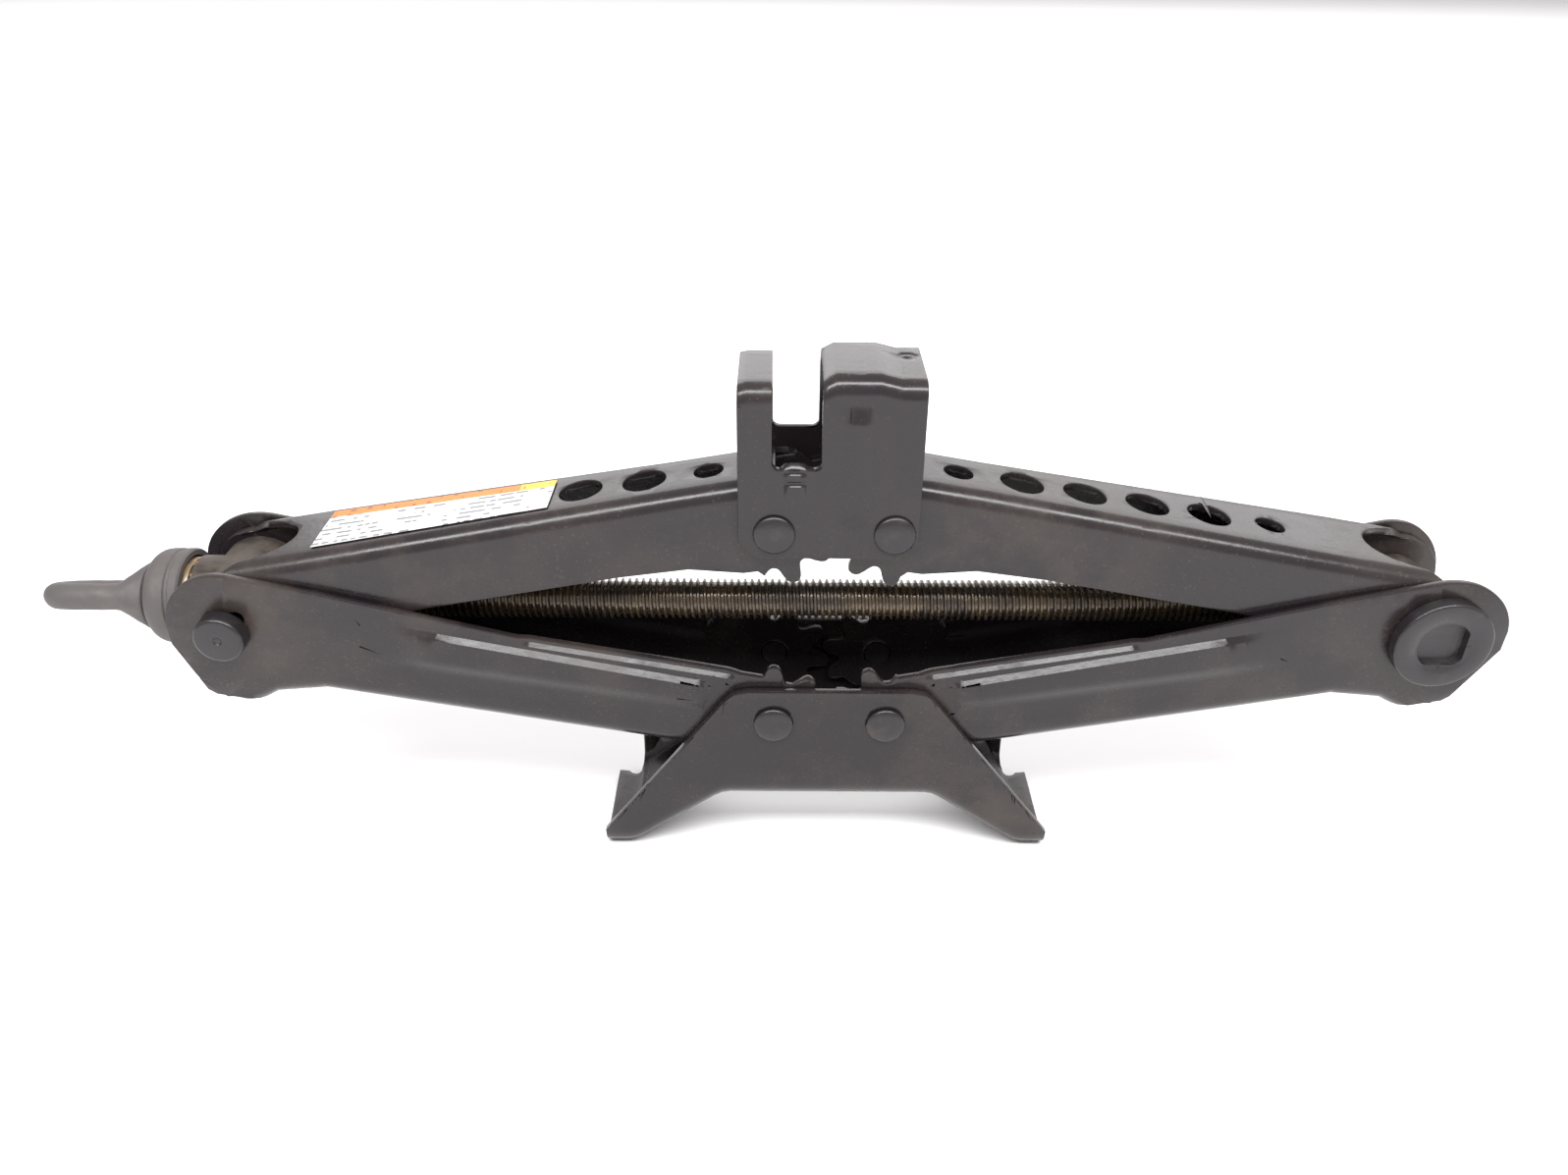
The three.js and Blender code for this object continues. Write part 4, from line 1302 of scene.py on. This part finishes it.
class AddCrankEye(JackStep):
    """Adds the forged crank eye: a long loop that grows out of a cone"""

    bl_idname = "jack.crank_eye"
    bl_label = "Crank Eye"

    def build(self):
        rod = self.context.scene.jack_turned.eye_rod / MM / 2
        low, high = span_of("crank_eye")
        cap_low = span_of("bearing_cap")[0].x
        face = cap_low - 0.3
        cone_end = face - 9.0
        bend = low.x + 8 + rod
        bpy.ops.object.select_all(action="DESELECT")
        bpy.ops.mesh.primitive_circle_add(
            vertices=28, radius=rod, location=(cone_end + 5, 8, 0), rotation=(0, pi / 2, 0)
        )
        loop = newest("crank_eye_forged")
        bpy.ops.object.transform_apply(location=True, rotation=True, scale=True)
        edit(loop)
        bpy.ops.mesh.extrude_region_move(TRANSFORM_OT_translate={"value": (bend - cone_end - 5, 0, 0)})
        bpy.ops.mesh.spin(steps=24, angle=pi, center=(bend, 0, 0), axis=(0, 0, -1))
        bpy.ops.mesh.extrude_region_move(TRANSFORM_OT_translate={"value": (cone_end + 5 - bend, 0, 0)})
        bpy.ops.mesh.select_all(action="SELECT")
        bpy.ops.mesh.remove_doubles(threshold=0.01)
        bpy.ops.mesh.select_all(action="DESELECT")
        bpy.ops.mesh.select_non_manifold(extend=False)
        bpy.ops.mesh.fill()
        bpy.ops.mesh.select_all(action="SELECT")
        bpy.ops.mesh.normals_make_consistent(inside=False)
        done()
        if not loop.data.vertices or min(v.co.x for v in loop.data.vertices) > low.x + 1:
            raise RuntimeError("the eye's loop turned away from its tip")
        # the neck spreads from the loop into the round foot of the cone
        cone = 10.5
        rings = [
            (cone_end - 3.0, 10.3, rod - 0.6),
            (cone_end, 11.5, rod + 0.2),
            (cone_end + 3.2, 11.9, rod + 2.6),
            (cone_end + 5.4, 11.3, rod + 4.4),
            (cone_end + 7.2, 10.6, cone - 0.9),
            (face - 0.5, cone, cone),
            (face, cone - 0.5, cone - 0.5),
        ]
        bpy.ops.object.select_all(action="DESELECT")
        bpy.ops.mesh.primitive_circle_add(vertices=40, radius=1, fill_type="NGON", rotation=(0, pi / 2, 0))
        neck = newest("neck")
        bpy.ops.object.transform_apply(location=True, rotation=True, scale=True)
        x, wide, thick = rings[0]
        neck.data.transform(Matrix.Translation((x, 0, 0)) @ Matrix.Diagonal((1, wide, thick, 1)))
        edit(neck)
        for (x0, w0, t0), (x1, w1, t1) in zip(rings, rings[1:]):
            bpy.ops.mesh.extrude_region_move(TRANSFORM_OT_translate={"value": (x1 - x0, 0, 0)})
            bpy.ops.transform.resize(value=(1, w1 / w0, t1 / t0), center_override=(x1, 0, 0))
        bpy.ops.mesh.select_all(action="SELECT")
        bpy.ops.mesh.normals_make_consistent(inside=False)
        done()
        shank = turned(
            "shank",
            [(face - 1, 0), (face - 1, 8), (high.x, 8), (high.x, 6.4), (face + 1.4, 6.4), (face + 1.4, 0)],
            48,
        )
        bpy.ops.object.select_all(action="DESELECT")
        for part in (neck, shank, loop):
            part.select_set(True)
        bpy.context.view_layer.objects.active = loop
        bpy.ops.object.join()
        apply_modifier(loop, "REMESH", mode="VOXEL", voxel_size=0.5, use_smooth_shade=True)
        apply_modifier(loop, "SMOOTH", factor=0.5, iterations=7)
        for vertex in loop.data.vertices:
            hammered = 0.09 * sin(vertex.co.x * 0.9) * sin(vertex.co.y * 0.8 + 1) * sin(vertex.co.z * 0.7)
            vertex.co += vertex.normal * hammered if vertex.co.x < face - 1 else Vector()
        loop.data.transform(Matrix.Translation((0, 0, AXIS_Z)) @ Matrix.Rotation(radians(-27), 4, "X"))
        only(loop)
        bpy.ops.object.shade_smooth()
        place(loop, "screw", "crank_eye", "dark_forging", forging_finish())


class AddLabel(JackStep):
    """Adds the label film on the upper left arm, with plain bars in place of print"""

    bl_idname = "jack.label"
    bl_label = "Label"

    def build(self):
        length = ARM_LENGTH
        first, last = 60.5, 128.0
        bpy.ops.object.select_all(action="DESELECT")
        bpy.ops.mesh.primitive_grid_add(x_subdivisions=34, y_subdivisions=12, size=2)
        film = newest("warning_label_film")
        for vertex in film.data.vertices:
            u = first + (last - first) * (vertex.co.x + 1) / 2
            half = 13.2 + 3.4 * (u - 24) / (length - 52) - 4.5 - 1.2
            lift = 0.06 * sin(u * 0.31) * (1 - abs(vertex.co.y)) + 0.36
            vertex.co = (u, vertex.co.y * half, 14.6 + 2.6 * u / length + lift)
        apply_modifier(film, "SOLIDIFY", thickness=0.14, offset=1)
        round_edges(film, 0.04, 50, 1)
        film.data.transform(arm_place(-1, 1))
        smooth(film)
        place(film, "upper_left_arm", "warning_label", "label_film", self.print_finish())

    def print_finish(self):
        board, tint = Board("printed_film"), colours()
        corner = arm_place(-1, 1)
        where = board.place(turn=corner.to_euler("XYZ"), at=corner.translation * MM)
        along, across, _ = board.axes(where)
        u = along / MM
        v = across / MM
        grain = board.noise(where, 900, 2, 0.5)
        # the band lies along the back edge, which is on the arm's own -y side
        is_header = (v + u * 0.0323 + 6.724) < 4.1
        yellow = u < 71
        band = board.mix(yellow, tint.header, tint.header_end)
        # rows of short grey bars on the white body
        row = board.node("ShaderNodeMath", {"operation": "FRACT"}, {0: v / 2.7 + 10.0})
        line = board.node("ShaderNodeMath", {"operation": "FLOOR"}, {0: v / 2.7 + 10.0})
        stagger = board.node("ShaderNodeMath", {"operation": "SINE"}, {0: line * 12.7})
        words = board.noise(
            board.node("ShaderNodeCombineXYZ", {}, {"X": u * 0.42 + stagger * 9, "Y": line * 3.7, "Z": 0.0}), 1.0, 1.0, 0.4
        )
        block = board.noise(board.node("ShaderNodeCombineXYZ", {}, {"X": u * 0.07, "Y": line * 0.2, "Z": 4.0}), 1.0, 0.0, 0.4)
        bars = (row > 0.3) * (row < 0.75) * (words > 0.47) * (block > 0.4) * (is_header < 0.5)
        symbols = (row > 0.2) * (row < 0.8) * (words > 0.6) * is_header
        paper = board.mix(bars * 0.85, tint.label, (0.1, 0.1, 0.11))
        face = board.mix(is_header, paper, board.mix(symbols * 0.75, band, (0.12, 0.06, 0.03)))
        soiled = board.noise(where, 60, 4, 0.6).ramp(0.56, 0.8)
        return board.finish(
            Base_Color=board.mix(soiled * 0.3, face, tint.dust),
            Roughness=0.36 + grain * 0.1 + soiled * 0.2,
            Normal=board.bump(grain, 0.02),
            IOR=1.45,
        )


class AddStage(JackStep):
    """Adds the pale floor, the soft lights and the camera"""

    bl_idname = "jack.stage"
    bl_label = "Stage"

    def build(self):
        bpy.ops.object.select_all(action="DESELECT")
        bpy.ops.mesh.primitive_plane_add(size=9, location=(0, 0, 0))
        floor = newest("floor")
        edit(floor)
        bpy.ops.mesh.subdivide(number_cuts=3)
        done()
        floor.data.materials.append(self.floor_finish())

        world = bpy.data.worlds.new("studio")
        bpy.context.scene.world = world
        world.use_nodes = True
        background = world.node_tree.nodes["Background"]
        background.inputs["Color"].default_value = (1.0, 0.965, 0.975, 1)
        background.inputs["Strength"].default_value = 0.62
        bpy.context.scene.view_settings.view_transform = "Standard"

        self.lamp("back_panel", (0.1, 0.9, 0.5), (1.7, 0.5), 5)
        self.lamp("ceiling_panel", (0.0, -0.5, 0.92), (1.5, 0.26), 19)
        self.lamp("floor_fill", (0.1, 2.4, 1.6), (4.5, 1.6), 90).visible_glossy = False

        camera = bpy.data.cameras.new("camera")
        camera.lens = 27.45
        camera.sensor_width = 36
        camera.clip_start, camera.clip_end = 0.01, 50
        holder = bpy.data.objects.new("camera", camera)
        bpy.context.collection.objects.link(holder)
        yaw, down, roll = 0.0035, 0.5361, 0.0078
        ahead = Vector((sin(yaw), cos(yaw), 0))
        side = Vector((cos(yaw), -sin(yaw), 0))
        rise = Vector((0, 0, 1))
        look = ahead * cos(down) - rise * sin(down)
        up = rise * cos(down) + ahead * sin(down)
        right = side * cos(roll) + up * sin(roll)
        top = up * cos(roll) - side * sin(roll)
        turn = Matrix((right, top, -look)).transposed().to_4x4()
        holder.matrix_world = Matrix.Translation(Vector((5.54, -302.03, 261.93)) * MM) @ turn
        bpy.context.scene.camera = holder

    def lamp(self, name, at, extent, power):
        light = bpy.data.lights.new(name, "AREA")
        light.shape = "RECTANGLE"
        light.size, light.size_y = extent
        light.energy = power
        holder = bpy.data.objects.new(name, light)
        bpy.context.collection.objects.link(holder)
        holder.location = at
        holder.rotation_euler = (Vector(at) - Vector((0, 0, 0.06))).to_track_quat("Z", "Y").to_euler()
        return holder

    def floor_finish(self):
        board, tint = Board("floor"), colours()
        where = board.place()
        clouds = board.noise(where, 5, 5, 0.6)
        grain = board.noise(where, 300, 3, 0.6)
        return board.finish(
            Base_Color=board.mix(clouds.ramp(0.45, 0.8) * 0.25, tint.floor, (0.79, 0.775, 0.77)),
            Roughness=0.5 + grain * 0.1,
            Normal=board.bump(grain, 0.05),
        )


STEPS = (
    AddUpperArms,
    AddLowerArms,
    AddSaddle,
    AddBase,
    AddRivets,
    AddPins,
    AddTrunnions,
    AddLiftScrew,
    AddBearing,
    AddCrankEye,
    AddLabel,
    AddStage,
)


class JACK_PT_panel(bpy.types.Panel):
    """Lists the jack's pieces and their sizes"""

    bl_label = "Scissor Jack"
    bl_idname = "JACK_PT_panel"
    bl_space_type = "VIEW_3D"
    bl_region_type = "UI"
    bl_category = "Scissor Jack"

    def draw(self, context):
        for group in (context.scene.jack_sheet, context.scene.jack_turned, context.scene.jack_colours):
            column = self.layout.column(align=True)
            for key in group.__annotations__:
                column.prop(group, key)
        for step in STEPS:
            self.layout.operator(step.bl_idname)


GROUPS = (JackSheetSizes, JackTurnedSizes, JackColours)
CLASSES = GROUPS + STEPS + (JACK_PT_panel,)


def register():
    for kind in CLASSES:
        bpy.utils.register_class(kind)
    bpy.types.Scene.jack_sheet = bpy.props.PointerProperty(type=JackSheetSizes)
    bpy.types.Scene.jack_turned = bpy.props.PointerProperty(type=JackTurnedSizes)
    bpy.types.Scene.jack_colours = bpy.props.PointerProperty(type=JackColours)


def unregister():
    del bpy.types.Scene.jack_colours, bpy.types.Scene.jack_turned, bpy.types.Scene.jack_sheet
    for kind in reversed(CLASSES):
        bpy.utils.unregister_class(kind)


def main():
    register()
    for step in STEPS:
        group, name = step.bl_idname.split(".")
        getattr(getattr(bpy.ops, group), name)()


if __name__ == "__main__":
    main()
